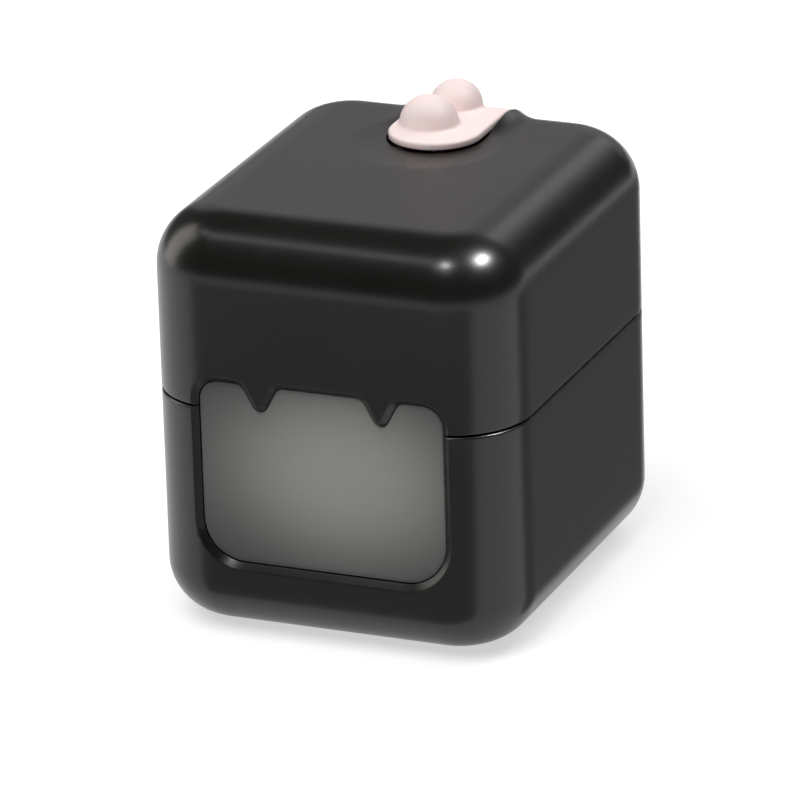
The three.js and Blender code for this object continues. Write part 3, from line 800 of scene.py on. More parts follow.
@dataclass(frozen=True)
class Hinge:
    """Two barrels on the base outside two on the lid, with webs to their walls."""

    sizes: CaseSizes
    inner_reach: float = 7.0
    split_reach: float = 13.8
    outer_reach: float = 21.0
    end_gap: float = 0.3
    web_height: float = 8.0
    ledge_reach: float = 4.2
    ledge_depth: float = 2.5
    stop_gap: float = 0.1
    opening: float = math.radians(100)

    def opened_rear_face(self, behind: float) -> float:
        """Height of the opened lid's rear face above the axis, a distance behind it."""
        slope = math.cos(self.opening) / math.sin(self.opening)
        return self.sizes.hinge_behind / math.sin(self.opening) + behind * slope - self.stop_gap

    def barrels(self, near: float, far: float, web: list[tuple[float, float]]) -> list[bpy.types.Object]:
        """Barrels and webs of one shell, left and right.

        Args:
            near: End nearer to the middle.
            far: End further out.
            web: Outline of the web round the axis, as pairs of Y and Z, counter-clockwise.

        Returns:
            The objects.
        """
        sizes = self.sizes
        placed = [(sizes.hinge_y + y, sizes.seam + z) for y, z in web]
        made = []
        for ends in both_sides(near + self.end_gap / 2, far - self.end_gap / 2):
            made.append(cylinder("X", sizes.barrel_radius, ends, (sizes.hinge_y, sizes.seam)))
            made.append(profile_object(placed, ends, 0.2))
        return made

    def base_barrels(self) -> list[bpy.types.Object]:
        """Barrels of the base, with the ledges that stop the lid."""
        behind = self.sizes.hinge_behind
        in_wall = -behind - self.sizes.wall / 2
        clear = self.sizes.barrel_radius + self.sizes.barrel_gap
        web = [
            (in_wall, 0.0), (in_wall, -self.web_height), (-behind, -self.web_height),
            (self.ledge_reach, -self.ledge_depth),
            (self.ledge_reach, self.opened_rear_face(self.ledge_reach)),
            (clear, self.opened_rear_face(clear)), (0.0, 0.0),
        ]
        return self.barrels(self.split_reach, self.outer_reach, web)

    def lid_barrels(self) -> list[bpy.types.Object]:
        """Barrels of the lid."""
        behind = self.sizes.hinge_behind
        in_wall = -behind - self.sizes.wall / 2
        reach = self.sizes.barrel_radius
        web = [
            (in_wall, 0.0), (reach, 0.0), (reach, self.ledge_depth),
            (-behind, self.web_height), (in_wall, self.web_height),
        ]
        return self.barrels(self.inner_reach, self.split_reach, web)

    def room(self, near: float, far: float) -> list[bpy.types.Object]:
        """Room in a wall for the other shell's barrels, or for the spring."""
        radius = self.sizes.barrel_radius + self.sizes.barrel_gap
        place = (self.sizes.hinge_y, self.sizes.seam)
        ranges = both_sides(near, far) if near else [(-far, far)]
        return [cylinder("X", radius, ends, place) for ends in ranges]

    def bore(self) -> bpy.types.Object:
        """Bore for the hinge pin."""
        end = self.outer_reach + 1.0
        return cylinder("X", self.sizes.pin_radius + self.sizes.bore_gap, (-end, end),
                        (self.sizes.hinge_y, self.sizes.seam))


@dataclass(frozen=True)
class LidShell:
    """Black lid: rounded box with a dish, two cheeks, and the well and slot of the tab."""

    sizes: CaseSizes
    window: WindowOutline
    hinge: Hinge
    dish_depth: float = 0.45
    dish_radius: float = 15.0
    cheek_height: float = 1.7
    cheek_width: float = 5.0
    cheek_fade: float = 11.0
    cheek_turn: float = math.radians(72)
    crest_round: float = 0.5
    crest_drop: float = 0.22
    well_depth: float = 2.8
    well_wall: float = 1.5
    well_front_gap: float = 0.34
    slot_depth: float = 14.0
    tab_turn: float = math.radians(38)
    tab_join: float = 3.0
    boss_width: float = 3.6
    boss_radius: float = 3.0
    boss_depth: float = 5.0
    tab_pin_radius: float = 0.8
    tab_pin_gap: float = 0.05
    tab_pin_end_wall: float = 0.5
    stop_bar: float = 1.6
    leg_front: float = 37.2
    stop_gap: float = 0.15
    pocket_radius: float = 2.675
    pocket_depth: float = 3.4
    pocket_wall: float = 1.3
    spring_from_front: float = 6.2
    lip_round: float = 0.25

    @property
    def turn_y(self) -> float:
        """Axis of the rear edge's rounding, along Y."""
        return self.sizes.half_depth - self.sizes.top_radius

    @property
    def turn_z(self) -> float:
        """Height of the axis of the rear edge's rounding."""
        return self.sizes.top - self.sizes.top_radius

    @property
    def well_floor(self) -> float:
        """Height of the well's floor."""
        return self.sizes.top - self.well_depth

    @property
    def spring_y(self) -> float:
        """Place of the tab's spring along Y."""
        return self.sizes.tab_front + self.spring_from_front

    @property
    def slot_rear(self) -> float:
        """Rear end of the slot, behind the end of the bent tab."""
        turn_radius = self.sizes.top_radius + self.sizes.tab_proud
        return self.turn_y + turn_radius * math.sin(self.tab_turn) + self.sizes.well_gap

    @property
    def boss_low(self) -> float:
        """Height of the lower end of the pin's bosses."""
        return self.sizes.pivot_z - self.boss_depth

    @property
    def boss_reach(self) -> float:
        """Distance of the bosses' outer faces from the middle."""
        return self.sizes.slot_half_width + self.boss_width

    def relief(self, points: np.ndarray) -> np.ndarray:
        """Moves the skin's points out over the cheeks and down into the dish.

        A cheek's height is full at the slot and falls with the square of the distance; along
        the lid it rises and fades smoothly, and follows the rear edge's rounding. The dish is
        a shallow cap of a sphere.

        Args:
            points: Points of the smooth skin.

        Returns:
            Moved points.
        """
        x, y, z = points[..., 0], points[..., 1], points[..., 2]
        upper = z > self.turn_z
        angle = np.where(upper & (y > self.turn_y), np.arctan2(y - self.turn_y, z - self.turn_z), 0.0)
        rise = np.clip((y - self.turn_y + self.cheek_fade) / self.cheek_fade, 0.0, 1.0)
        fall = np.clip(1 - angle / self.cheek_turn, 0.0, 1.0)
        smooth_rise = rise * rise * (3 - 2 * rise)
        smooth_fall = fall * fall * (3 - 2 * fall)
        from_slot = np.abs(x) - self.sizes.slot_half_width
        aside = np.clip(from_slot / self.cheek_width, 0.0, 1.0)
        crest = self.crest_drop * np.clip(1 - from_slot / self.crest_round, 0.0, 1.0) ** 2
        along = smooth_rise * np.minimum(2 * smooth_fall, 1.0)
        height = (self.cheek_height * (1 - aside) ** 2 - crest) * along
        height = np.where(upper, np.maximum(height, 0.0), 0.0)
        sphere = (self.dish_radius**2 + self.dish_depth**2) / (2 * self.dish_depth)
        middle_y = self.sizes.tab_front + self.sizes.tab_half_width / 2
        away = np.hypot(x, y - middle_y)
        sunk = self.dish_depth - (sphere - np.sqrt(np.maximum(sphere**2 - away**2, 0.0)))
        sunk = np.where(upper & (away < self.dish_radius), sunk, 0.0)
        moved = points.copy()
        moved[..., 1] += height * np.sin(angle)
        moved[..., 2] += height * np.cos(angle) - sunk
        return moved

    def top_surface(self, x: np.ndarray, y: np.ndarray) -> np.ndarray:
        """Height of the lid's finished top above a place in its plan.

        Args:
            x: Places along X.
            y: Places along Y.

        Returns:
            Heights, on the rear edge's rounding where the place lies behind the flat top.
        """
        behind = np.maximum(y - self.turn_y, 0.0)
        smooth = self.turn_z + np.sqrt(np.maximum(self.sizes.top_radius**2 - behind**2, 0.0))
        return self.relief(np.stack([x, y, smooth], -1))[..., 2]

    def skin(self) -> bpy.types.Object:
        """Outer skin with its relief, closed across the rim."""
        sizes = self.sizes
        core = sizes.half_width - sizes.upright_radius
        edge = sizes.slot_half_width
        near = np.array([0.04, 0.1, 0.2, 0.35, 0.55])
        right = np.unique(np.concatenate([np.arange(0.0, core + 0.01, 0.55), edge + near, [core]]))
        right = right[np.concatenate([[True], np.diff(right) > 0.03])]
        across = np.concatenate([-right[:0:-1], right]) / core
        along_core = sizes.half_depth - sizes.upright_radius
        along = even_shares(round(2 * along_core / 0.7))
        plan = BoxPlan(sizes.half_width, sizes.half_depth, sizes.upright_radius, across, along, 24)
        insets, heights = chain(
            (np.array([sizes.upright_radius, 5.0]), np.full(2, sizes.lid_rim)),
            fillet_profile(sizes.rim_round, 0.0, sizes.lid_rim, sizes.lid_rim + sizes.rim_round, 5, True),
            straight(0.0, sizes.lid_rim + sizes.rim_round, self.turn_z, 1.6),
            fillet_profile(0.0, sizes.top_radius, self.turn_z, sizes.top, 30, False),
            (np.linspace(sizes.top_radius, sizes.upright_radius, 5), np.full(5, sizes.top)),
        )
        rings, *caps = [self.relief(grid) for grid in plan.grids(insets, heights)]
        return closed_object("lid_shell_fine", [rings], caps, [])

    def cavity(self) -> bpy.types.Object:
        """Space inside the lid, less the well's pan, the spring's pocket, bosses and stop bar."""
        sizes = self.sizes
        wall = sizes.wall
        corner = sizes.upright_radius - wall
        plan = BoxPlan(sizes.half_width - wall, sizes.half_depth - wall, corner,
                       even_shares(24), even_shares(28), 14)
        insets, heights = chain(
            (np.array([corner, 0.0]), np.full(2, sizes.lid_rim - 1.0)),
            straight(0.0, sizes.lid_rim - 1.0, self.turn_z, 4.0),
            fillet_profile(0.0, sizes.top_radius - wall, self.turn_z, sizes.top - wall, 16, False),
            (corner, sizes.top - wall),
        )
        space = box_object("cavity", plan, insets, heights)
        floor = self.well_floor
        tools = [
            self.well_block(self.well_wall, floor - self.well_wall, sizes.top - wall / 2),
            cylinder("Z", self.pocket_radius + self.pocket_wall,
                     (floor - self.pocket_depth - self.pocket_wall, floor), (0.0, self.spring_y), 0.4),
            self.stop_block(),
        ]
        for ends in both_sides(sizes.slot_half_width, self.boss_reach):
            tools.append(soft_block(ends,
                                    (sizes.pivot_y - self.boss_radius, sizes.pivot_y + self.boss_radius),
                                    (self.boss_low, sizes.top)))
        return combine(space, Combine.CUT, *tools)

    def stop_block(self) -> bpy.types.Object:
        """Bar between the bosses that stops the tab's leg."""
        rear = self.leg_front - self.stop_gap
        return soft_block((-self.boss_reach, self.boss_reach), (rear - self.stop_bar, rear),
                          (self.boss_low, self.boss_low + self.stop_bar))

    def well_plan(self, grow: float, steps: int = 96) -> np.ndarray:
        """Outline of the well: half an ellipse in front and straight sides behind.

        Args:
            grow: Distance outside the tab.
            steps: Steps round the front.

        Returns:
            Pairs of X and Y, counter-clockwise.
        """
        sizes = self.sizes
        middle = sizes.tab_front + sizes.tab_half_width
        angle = np.linspace(math.pi, 2 * math.pi, steps + 1)
        across = sizes.tab_half_width + grow
        along = across + self.well_front_gap - sizes.well_gap
        front = np.stack([across * np.cos(angle), middle + along * np.sin(angle)], -1)
        rear = sizes.pivot_y - self.tab_join + grow
        return np.concatenate([front, [[across, rear], [-across, rear]]])

    def well_block(self, wall: float, low: float, high: float) -> bpy.types.Object:
        """Upright block with the well's outline."""
        outline = self.well_plan(self.sizes.well_gap + wall)
        grid = np.stack([np.column_stack([outline, np.full(len(outline), z)]) for z in (low, high)])
        return closed_object("pan", [grid], [], [grid[0], grid[-1]])

    def tab_room(self) -> bpy.types.Object:
        """Cutter for the well and the slot's upper part, with a rounded upper edge.

        Its profile, carried along the outline, is upright up to the lip and then a circle that
        leans out over the top: the distance out is 1 - cosine of the lean, the height its sine.

        Returns:
            The object, in millimetres.
        """
        sizes = self.sizes
        middle = sizes.tab_front + sizes.tab_half_width
        rear = self.slot_rear
        front_angle = np.linspace(math.pi, 2 * math.pi, 97)
        side_y = np.linspace(middle, rear, 40)[1:]
        back_x = np.linspace(1.0, -1.0, 13)[1:-1]

        def ring(grow: float) -> np.ndarray:
            across = sizes.slot_half_width + grow
            along = across + self.well_front_gap - sizes.well_gap
            front = np.stack([across * np.cos(front_angle), middle + along * np.sin(front_angle)], -1)
            right = np.stack([np.full_like(side_y, across), side_y], -1)
            back = np.stack([across * back_x, np.full_like(back_x, rear)], -1)
            left = np.stack([np.full_like(side_y, -across), side_y[::-1]], -1)
            return np.concatenate([front, right, back, left])

        lean = np.radians([0.0, 22.0, 44.0, 66.0])
        out = self.lip_round * (1 - np.cos(lean))
        up = -self.lip_round * (1 - np.sin(lean))
        out = np.append(out, [0.82 * self.lip_round + 0.5])
        up = np.append(up, [0.45])
        rest = ring(0.0)
        surface = self.top_surface(rest[:, 0], rest[:, 1])
        floor = self.well_floor
        rings = [np.column_stack([rest, np.full(len(rest), floor)])]
        for grow, rise in zip(out, up):
            level = np.maximum(surface, floor + 1.0) + rise if rise > 0 else surface + rise
            rings.append(np.column_stack([ring(grow), np.maximum(level, floor + 0.5 * (1 + rise))]))
        last = ring(out[-1])
        rings.append(np.column_stack([last, np.full(len(last), sizes.top + 4.0)]))
        grid = np.stack(rings)
        return closed_object("tab_room", [grid], [], [grid[0], grid[-1]])

    def build(self, finish: Finish) -> None:
        """Makes and dresses the lid.

        Args:
            finish: Its finish.
        """
        sizes, hinge = self.sizes, self.hinge
        lid = self.skin()
        combine(lid, Combine.CUT, self.cavity(),
                *hinge.room(hinge.split_reach, hinge.outer_reach), *hinge.room(0.0, hinge.inner_reach))
        combine(lid, Combine.ADD, *hinge.lid_barrels())
        floor = self.well_floor
        slot = soft_block((-sizes.slot_half_width, sizes.slot_half_width),
                          (sizes.pivot_y - self.tab_join - sizes.well_gap, self.slot_rear),
                          (sizes.top - self.slot_depth, floor + 1.0), 0.15)
        combine(slot, Combine.CUT, self.stop_block())
        pin_end = self.boss_reach - self.tab_pin_end_wall
        combine(lid, Combine.CUT, self.tab_room(), slot,
                cylinder("Z", self.pocket_radius, (floor - self.pocket_depth, floor + 1.0),
                         (0.0, self.spring_y)),
                cylinder("X", self.tab_pin_radius + self.tab_pin_gap, (-pin_end, pin_end),
                         (sizes.pivot_y, sizes.pivot_z)),
                hinge.bore(), self.window.cutter())
        present(lid, "lid_shell", sizes, finish, Body.LID)


@dataclass(frozen=True)
class BaseShell:
    """Black base: rounded box with the catch's tower, guide ribs, barrels and foot recesses."""

    sizes: CaseSizes
    window: WindowOutline
    hinge: Hinge
    rib_thickness: float = 1.2
    rib_height: float = 30.0
    rib_place_share: float = 0.5
    cup_gap: float = 0.8
    tower_front: float = 33.85
    tower_plate: float = 1.5
    tower_inside: float = 5.4
    tower_cheek: float = 1.4
    tower_below: float = 0.6
    stake_radius: float = 1.2
    stake_reach: float = 1.95
    stake_from_top: float = 4.0
    stake_root: float = 0.3
    foot_radius: float = 4.5
    foot_gap: float = 0.15
    foot_across: float = 20.0
    foot_along: float = 26.0
    foot_thickness: float = 1.4

    def walls(self) -> bpy.types.Object:
        """Outer skin less the inner space."""
        sizes = self.sizes
        corner = sizes.upright_radius
        plan = BoxPlan(sizes.half_width, sizes.half_depth, corner, even_shares(60), even_shares(60), 24)
        insets, heights = chain(
            (np.linspace(corner, sizes.bottom_radius, 4), np.full(4, sizes.stand)),
            fillet_profile(sizes.bottom_radius, 0.0, sizes.stand, sizes.stand + sizes.bottom_radius,
                           28, True),
            straight(0.0, sizes.stand + sizes.bottom_radius, sizes.base_rim - sizes.rim_round, 1.6),
            fillet_profile(0.0, sizes.rim_round, sizes.base_rim - sizes.rim_round, sizes.base_rim, 5, False),
            (np.array([5.0, corner]), np.full(2, sizes.base_rim)),
        )
        outer = box_object("base_shell_fine", plan, insets, heights)
        wall = sizes.wall
        inner_corner = corner - wall
        floor = sizes.stand + sizes.floor
        inner_plan = BoxPlan(sizes.half_width - wall, sizes.half_depth - wall, inner_corner,
                             even_shares(24), even_shares(28), 14)
        inner = chain(
            (inner_corner, floor),
            fillet_profile(sizes.bottom_radius - wall, 0.0, floor, floor + sizes.bottom_radius - wall,
                           14, True),
            straight(0.0, floor + sizes.bottom_radius - wall, sizes.base_rim + 1.0, 4.0),
            (inner_corner, sizes.base_rim + 1.0),
        )
        space = box_object("space", inner_plan, *inner)
        combine(space, Combine.CUT, *self.tower(), *self.ribs())
        return combine(outer, Combine.CUT, space, *self.hinge.room(0.0, self.hinge.split_reach))

    def tower(self) -> list[bpy.types.Object]:
        """Tower inside the rear wall: a plate and two cheeks."""
        sizes = self.sizes
        outside = self.tower_inside + self.tower_cheek
        height = (sizes.stand + sizes.floor / 2, sizes.base_rim - self.tower_below)
        rear = sizes.half_depth - sizes.wall / 2
        plate = (self.tower_front, self.tower_front + self.tower_plate)
        cheek = (self.tower_front + 0.3, rear)
        return [soft_block((-outside, outside), plate, height, 0.25),
                *[soft_block(ends, cheek, height, 0.25) for ends in both_sides(self.tower_inside, outside)]]

    def ribs(self) -> list[bpy.types.Object]:
        """Upright ribs on the side walls that keep the cup from shifting."""
        sizes = self.sizes
        bottom = sizes.stand + sizes.bottom_radius
        cup_front = -sizes.half_depth + sizes.wall + self.cup_gap
        cup_rear = self.tower_front - self.cup_gap
        middle, half = (cup_rear + cup_front) / 2, (cup_rear - cup_front) / 2
        made = []
        for side in (-1, 1):
            for end in (-1, 1):
                face = side * (sizes.half_width - sizes.wall)
                ends = sorted((face - side * (self.cup_gap - 0.05), face + side * sizes.wall / 2))
                place = middle + end * self.rib_place_share * half
                made.append(soft_block((ends[0], ends[1]),
                                       (place - self.rib_thickness / 2, place + self.rib_thickness / 2),
                                       (bottom, bottom + self.rib_height), 0.2))
        return made

    def build(self, finish: Finish) -> None:
        """Makes and dresses the base.

        Args:
            finish: Its finish.
        """
        sizes = self.sizes
        base = self.walls()
        stake_z = sizes.base_rim - self.tower_below - self.stake_from_top
        stake_ends = (self.tower_front + self.stake_root, self.tower_front + self.stake_reach)
        stake = cylinder("Y", self.stake_radius, stake_ends, (0.0, stake_z), 0.15)
        combine(base, Combine.ADD, *self.hinge.base_barrels(), stake)
        recesses = [cylinder("Z", self.foot_radius + self.foot_gap,
                             (-1.0, self.foot_thickness + 0.05), (x * self.foot_across, y * self.foot_along))
                    for x in (-1, 1) for y in (-1, 1)]
        combine(base, Combine.CUT, self.hinge.bore(), self.window.cutter(), *recesses)
        present(base, "base_shell", sizes, finish, Body.BASE)


@dataclass(frozen=True)
class InnerCup:
    """Frosted cup that holds the pads, with the window's pane on its front."""

    sizes: CaseSizes
    window: WindowOutline
    wall: float = 1.3
    floor: float = 1.4
    front: float = -40.2
    rear: float = 33.05
    half_width: float = 34.2
    corner: float = 12.2
    bottom: float = 3.05
    top: float = 56.0
    bottom_radius: float = 11.0
    rim_round: float = 0.4

    def build(self, finish: Finish) -> None:
        """Makes the cup as one skin, up the outside, over the rim and down the inside, and its pane.

        Args:
            finish: Its finish.
        """
        half_y = (self.rear - self.front) / 2
        plan = BoxPlan(self.half_width, half_y, self.corner, even_shares(44), even_shares(48), 20)
        floor = self.bottom + self.floor
        round_in = self.bottom_radius - self.wall
        insets, heights = chain(
            (self.corner, self.bottom),
            fillet_profile(self.bottom_radius, 0.0, self.bottom, self.bottom + self.bottom_radius, 18, True),
            straight(0.0, self.bottom + self.bottom_radius, self.top - self.rim_round, 1.5),
            fillet_profile(0.0, self.rim_round, self.top - self.rim_round, self.top, 4, False),
            fillet_profile(self.wall - self.rim_round, self.wall, self.top, self.top - self.rim_round,
                           4, True),
            straight(self.wall, self.top - self.rim_round, floor + round_in, 1.5),
            fillet_profile(self.wall, self.wall + round_in, floor + round_in, floor, 18, False),
            (self.corner, floor),
        )
        middle = np.array([0.0, (self.rear + self.front) / 2, 0.0])
        rings, *caps = [grid + middle for grid in plan.grids(insets, heights)]
        cup = closed_object("inner_cup_fine", [rings], caps, [])
        combine(cup, Combine.ADD, self.window.pane())
        present(cup, "inner_cup", self.sizes, finish, Body.BASE)


# Press tab and latch


@dataclass(frozen=True)
class PressTab:
    """Pink tab: rounded plate bent over the rear edge, two domes, barrel, leg and hook."""

    sizes: CaseSizes
    plate: float = 1.5
    edge: float = 0.6
    rear_turn: float = math.radians(38)
    front_dome: tuple[float, float] = (-2.2, 20.6)
    front_dome_radius: float = 5.8
    rear_dome: tuple[float, float] = (-1.4, 32.6)
    rear_dome_radius: float = 5.2
    dome_foot: float = 0.7
    heel_front: float = 3.0
    heel_rear: float = 2.6
    barrel: float = 2.3
    pin_hole: float = 0.92
    leg_front: float = 37.2
    leg_rear: float = 39.2
    hook_half_width: float = 5.0
    nose_front: float = 36.15
    nose_top: float = 48.1
    nose_height: float = 0.5
    hook_bottom: float = 46.9

    def outline(self, inset: float, length: float) -> np.ndarray:
        """Outline of the flat plate, whose rows pair its left and right points.

        Args:
            inset: Distance inwards.
            length: Place of the rear end along the flat plate.

        Returns:
            Array of rows from front to rear, each with its left and right point.
        """
        radius = self.sizes.tab_half_width - inset
        middle = self.sizes.tab_front + self.sizes.tab_half_width
        angle = np.linspace(math.pi / 2, 0.0, 33)
        half = np.concatenate([radius * np.cos(angle), np.full(36, radius)])
        run = np.linspace(middle, length - inset, 37)[1:]
        place = np.concatenate([middle - radius * np.sin(angle), run])
        left = np.stack([-half, place], -1)
        right = np.stack([half, place], -1)
        return np.stack([left, right], 1)

    def bent(self, flat: np.ndarray) -> np.ndarray:
        """Bends the flat plate over the lid's rear edge.

        Behind the edge's start, the distance along the plate is an arc of the circle that the
        plate's top follows.

        Args:
            flat: Points of the flat plate.

        Returns:
            Bent points.
        """
        start = self.sizes.half_depth - self.sizes.top_radius
        centre_z = self.sizes.top - self.sizes.top_radius
        radius = self.sizes.top_radius + self.sizes.tab_proud
        past = flat[..., 1] > start
        angle = np.where(past, (flat[..., 1] - start) / radius, 0.0)
        reach = flat[..., 2] - centre_z
        bent = flat.copy()
        bent[..., 1] = np.where(past, start + reach * np.sin(angle), flat[..., 1])
        bent[..., 2] = np.where(past, centre_z + reach * np.cos(angle), flat[..., 2])
        return bent

    def plate_object(self) -> bpy.types.Object:
        """The plate: side rings with a rounded upper edge, closed by rows across."""
        sizes = self.sizes
        radius = sizes.top_radius + sizes.tab_proud
        length = sizes.half_depth - sizes.top_radius + radius * self.rear_turn
        bottom = sizes.tab_top - self.plate
        insets, heights = chain(
            fillet_profile(0.3, 0.0, bottom, bottom + 0.3, 3, True),
            fillet_profile(0.0, self.edge, sizes.tab_top - self.edge, sizes.tab_top, 7, False),
        )
        share = np.linspace(0.0, 1.0, 25)
        rings, caps = [], []
        for index, (inset, height) in enumerate(zip(insets, heights)):
            rows = self.outline(inset, length)
            rear = rows[-1, 1] + (rows[-1, 0] - rows[-1, 1]) * share[1:-1, None]
            ring = np.concatenate([rows[::-1, 0], rows[1:, 1], rear])
            rings.append(np.column_stack([ring, np.full(len(ring), height)]))
            if index in (0, len(insets) - 1):
                cap = rows[:, :1] + (rows[:, 1:] - rows[:, :1]) * share[None, :, None]
                caps.append(np.concatenate([cap, np.full(cap.shape[:2] + (1,), height)], -1))
        grids = [self.bent(np.stack(rings)), *[self.bent(cap) for cap in caps]]
        return closed_object("press_tab_fine", [grids[0]], grids[1:], [])

    def dome(self, place: tuple[float, float], radius: float) -> bpy.types.Object:
        """Half ball whose foot runs out into the plate in a small hollow and bends with it.

        Args:
            place: Its middle, across and along the flat plate.
            radius: Radius of the ball.

        Returns:
            The object, in millimetres.
        """
        top, foot = self.sizes.tab_top, self.dome_foot
        meet = math.asin(foot / (radius + foot))
        ball = np.linspace(0.0, math.pi / 2 - meet, 40)
        radii = radius * np.sin(ball)
        heights = top + radius * np.cos(ball)
        centre = (radius + foot) * math.cos(meet)
        hollow = meet + np.linspace(0.0, 1.0, 9)[1:] * (math.pi / 2 - meet - math.radians(9))
        radii = np.append(radii, centre - foot * np.cos(hollow))
        heights = np.append(heights, top + foot - foot * np.sin(hollow))
        radii = np.append(radii, [radii[-1], 0.0])
        heights = np.append(heights, np.full(2, top - self.plate / 2))
        grid = turned(radii, heights, 96) + np.array([*place, 0.0])
        return closed_object("dome", [self.bent(grid)], [], [])

    def build(self, finish: Finish) -> None:
        """Makes and dresses the tab.

        Args:
            finish: Its finish.
        """
        sizes = self.sizes
        pivot_y, pivot_z = sizes.pivot_y, sizes.pivot_z
        half = sizes.tab_half_width
        tab = self.plate_object()
        inside = np.array([[0.0, pivot_y + along, sizes.tab_top - self.plate / 2]
                           for along in (self.heel_rear, 0.0, -self.heel_front)])
        heel = [*self.bent(inside)[:, 1:], (pivot_y - self.barrel, pivot_z),
                (pivot_y + self.barrel, pivot_z)]
        leg = [
            (self.leg_front, pivot_z), (self.leg_front, self.nose_top), (self.nose_front, self.nose_top),
            (self.nose_front, self.nose_top - self.nose_height), (self.leg_front, self.hook_bottom),
            (self.leg_rear, self.hook_bottom), (self.leg_rear, pivot_z),
        ]
        combine(tab, Combine.ADD,
                profile_object(heel, (-half, half), 0.4),
                cylinder("X", self.barrel, (-half, half), (pivot_y, pivot_z), 0.4),
                profile_object(leg, (-self.hook_half_width, self.hook_half_width), 0.15),
                self.dome(self.front_dome, self.front_dome_radius),
                self.dome(self.rear_dome, self.rear_dome_radius))
        combine(tab, Combine.CUT,
                cylinder("X", self.pin_hole, (-half - 1, half + 1), (pivot_y, pivot_z)))
        present(tab, "press_tab", sizes, finish, Body.TAB)


@dataclass(frozen=True)
class Hardware:
    """Pins, springs and the catch's spring leaf."""

    sizes: CaseSizes
    hinge_pin_reach: float = 20.7
    tab_pin_radius: float = 0.8
    tab_pin_reach: float = 12.75
    hinge_wire: float = 0.7
    hinge_coil: float = 1.75
    hinge_turns: int = 7
    hinge_pitch: float = 1.35
    hinge_leg: float = 6.0
    tab_wire: float = 0.45
    tab_coil: float = 2.1
    tab_turns: float = 4.5
    tab_spring_y: float = 15.7
    tab_spring_low: float = 76.9
    tab_spring_high: float = 82.0
    tab_spring_pressed_share: float = 0.78
    leaf_width: float = 9.0
    leaf_thickness: float = 0.4
    leaf_front: float = 35.4
    leaf_low: float = 37.55
    leaf_lip: float = 48.4
    leaf_lip_end: float = 36.95
    stake_z: float = 41.55
    stake_hole: float = 1.3

    def pin(self, radius: float, reach: float, place: tuple[float, float]) -> bpy.types.Object:
        """Pin along X with chamfered ends."""
        return cylinder("X", radius, (-reach, reach), place, 0.25)

    def tab_spring(self) -> bpy.types.Object:
        """Coil spring under the tab: a circle that rises evenly."""
        turn = np.linspace(0.0, self.tab_turns * 2 * math.pi, 360)
        share = turn / turn[-1]
        route = np.stack([
            self.tab_coil * np.cos(turn), self.tab_spring_y + self.tab_coil * np.sin(turn),
            self.tab_spring_low + (self.tab_spring_high - self.tab_spring_low) * share,
        ], -1)
        toward = np.stack([np.cos(turn), np.sin(turn), np.zeros_like(turn)], -1)
        return closed_object("tab_spring_fine", [tube(route, toward, self.tab_wire / 2)], [], [])

    def hinge_spring(self) -> bpy.types.Object:
        """Torsion spring round the hinge pin: a coil along X with a straight leg at each end."""
        sizes = self.sizes
        length = self.hinge_turns * self.hinge_pitch
        turn = np.linspace(0.0, self.hinge_turns * 2 * math.pi, 520)
        leg = np.linspace(self.hinge_leg, 0.0, 16)[:-1]
        ones = np.ones_like(leg)
        x = np.concatenate([-length / 2 * ones, length * (turn / turn[-1] - 0.5), length / 2 * ones])
        y = np.concatenate([self.hinge_coil * ones, self.hinge_coil * np.cos(turn), self.hinge_coil * ones])
        z = np.concatenate([-leg, self.hinge_coil * np.sin(turn), leg[::-1]])
        route = np.stack([x, sizes.hinge_y + y, sizes.seam + z], -1)
        out = np.concatenate([ones, np.cos(turn), ones])
        up = np.concatenate([0 * leg, np.sin(turn), 0 * leg])
        toward = np.stack([np.zeros_like(out), out, up], -1)
        return closed_object("hinge_spring_fine", [tube(route, toward, self.hinge_wire / 2)], [], [])

    def leaf(self) -> bpy.types.Object:
        """Bent strip: upright behind the tower, with a lip over the hook's nose."""
        half = self.leaf_thickness / 2
        line = self.leaf_front + half
        bend = 0.6
        angle = np.linspace(0.0, math.pi / 2, 9)
        lip = self.leaf_lip + half
        y = np.concatenate([[line], line + bend * (1 - np.cos(angle)), [self.leaf_lip_end]])
        z = np.concatenate([[self.leaf_low], lip - bend * (1 - np.sin(angle)), [lip]])
        ahead = np.gradient(np.stack([y, z], -1), axis=0)
        ahead /= np.linalg.norm(ahead, axis=1, keepdims=True)
        side = np.stack([ahead[:, 1], -ahead[:, 0]], -1) * half
        path = np.stack([y, z], -1)
        outline = np.concatenate([path + side, (path - side)[::-1]])
        strip = profile_object([tuple(pair) for pair in outline],
                               (-self.leaf_width / 2, self.leaf_width / 2), 0.08)
        hole = cylinder("Y", self.stake_hole, (self.leaf_front - 1, self.leaf_front + 1.5),
                        (0.0, self.stake_z))
        return combine(strip, Combine.CUT, hole)

    def build(self, finish: Finish) -> None:
        """Makes and dresses the steel pieces, bakes the hinge spring's placing into its mesh and gives the
        tab spring a mesh of its own.

        Args:
            finish: Their finish.
        """
        sizes = self.sizes
        made = [
            (self.pin(sizes.pin_radius, self.hinge_pin_reach, (sizes.hinge_y, sizes.seam)),
             "hinge_pin", Body.BASE),
            (self.pin(self.tab_pin_radius, self.tab_pin_reach, (sizes.pivot_y, sizes.pivot_z)),
             "tab_pin", Body.LID),
            (self.tab_spring(), "tab_spring", Body.LID),
            (self.hinge_spring(), "hinge_spring", None),
            (self.leaf(), "catch_leaf", Body.BASE),
        ]
        for piece, node, body in made:
            present(piece, node, sizes, finish, body)
        pieces = {node: piece for piece, node, _ in made}
        half = self.hinge_turns * self.hinge_pitch / 2
        axis_y = sizes.hinge_y - sizes.forward_shift
        leg_places = [METRES_PER_MILLIMETRE * Vector((side, axis_y, sizes.seam)) for side in (-half, half)]
        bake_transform(pieces["hinge_spring"])
        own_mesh(pieces["tab_spring"])


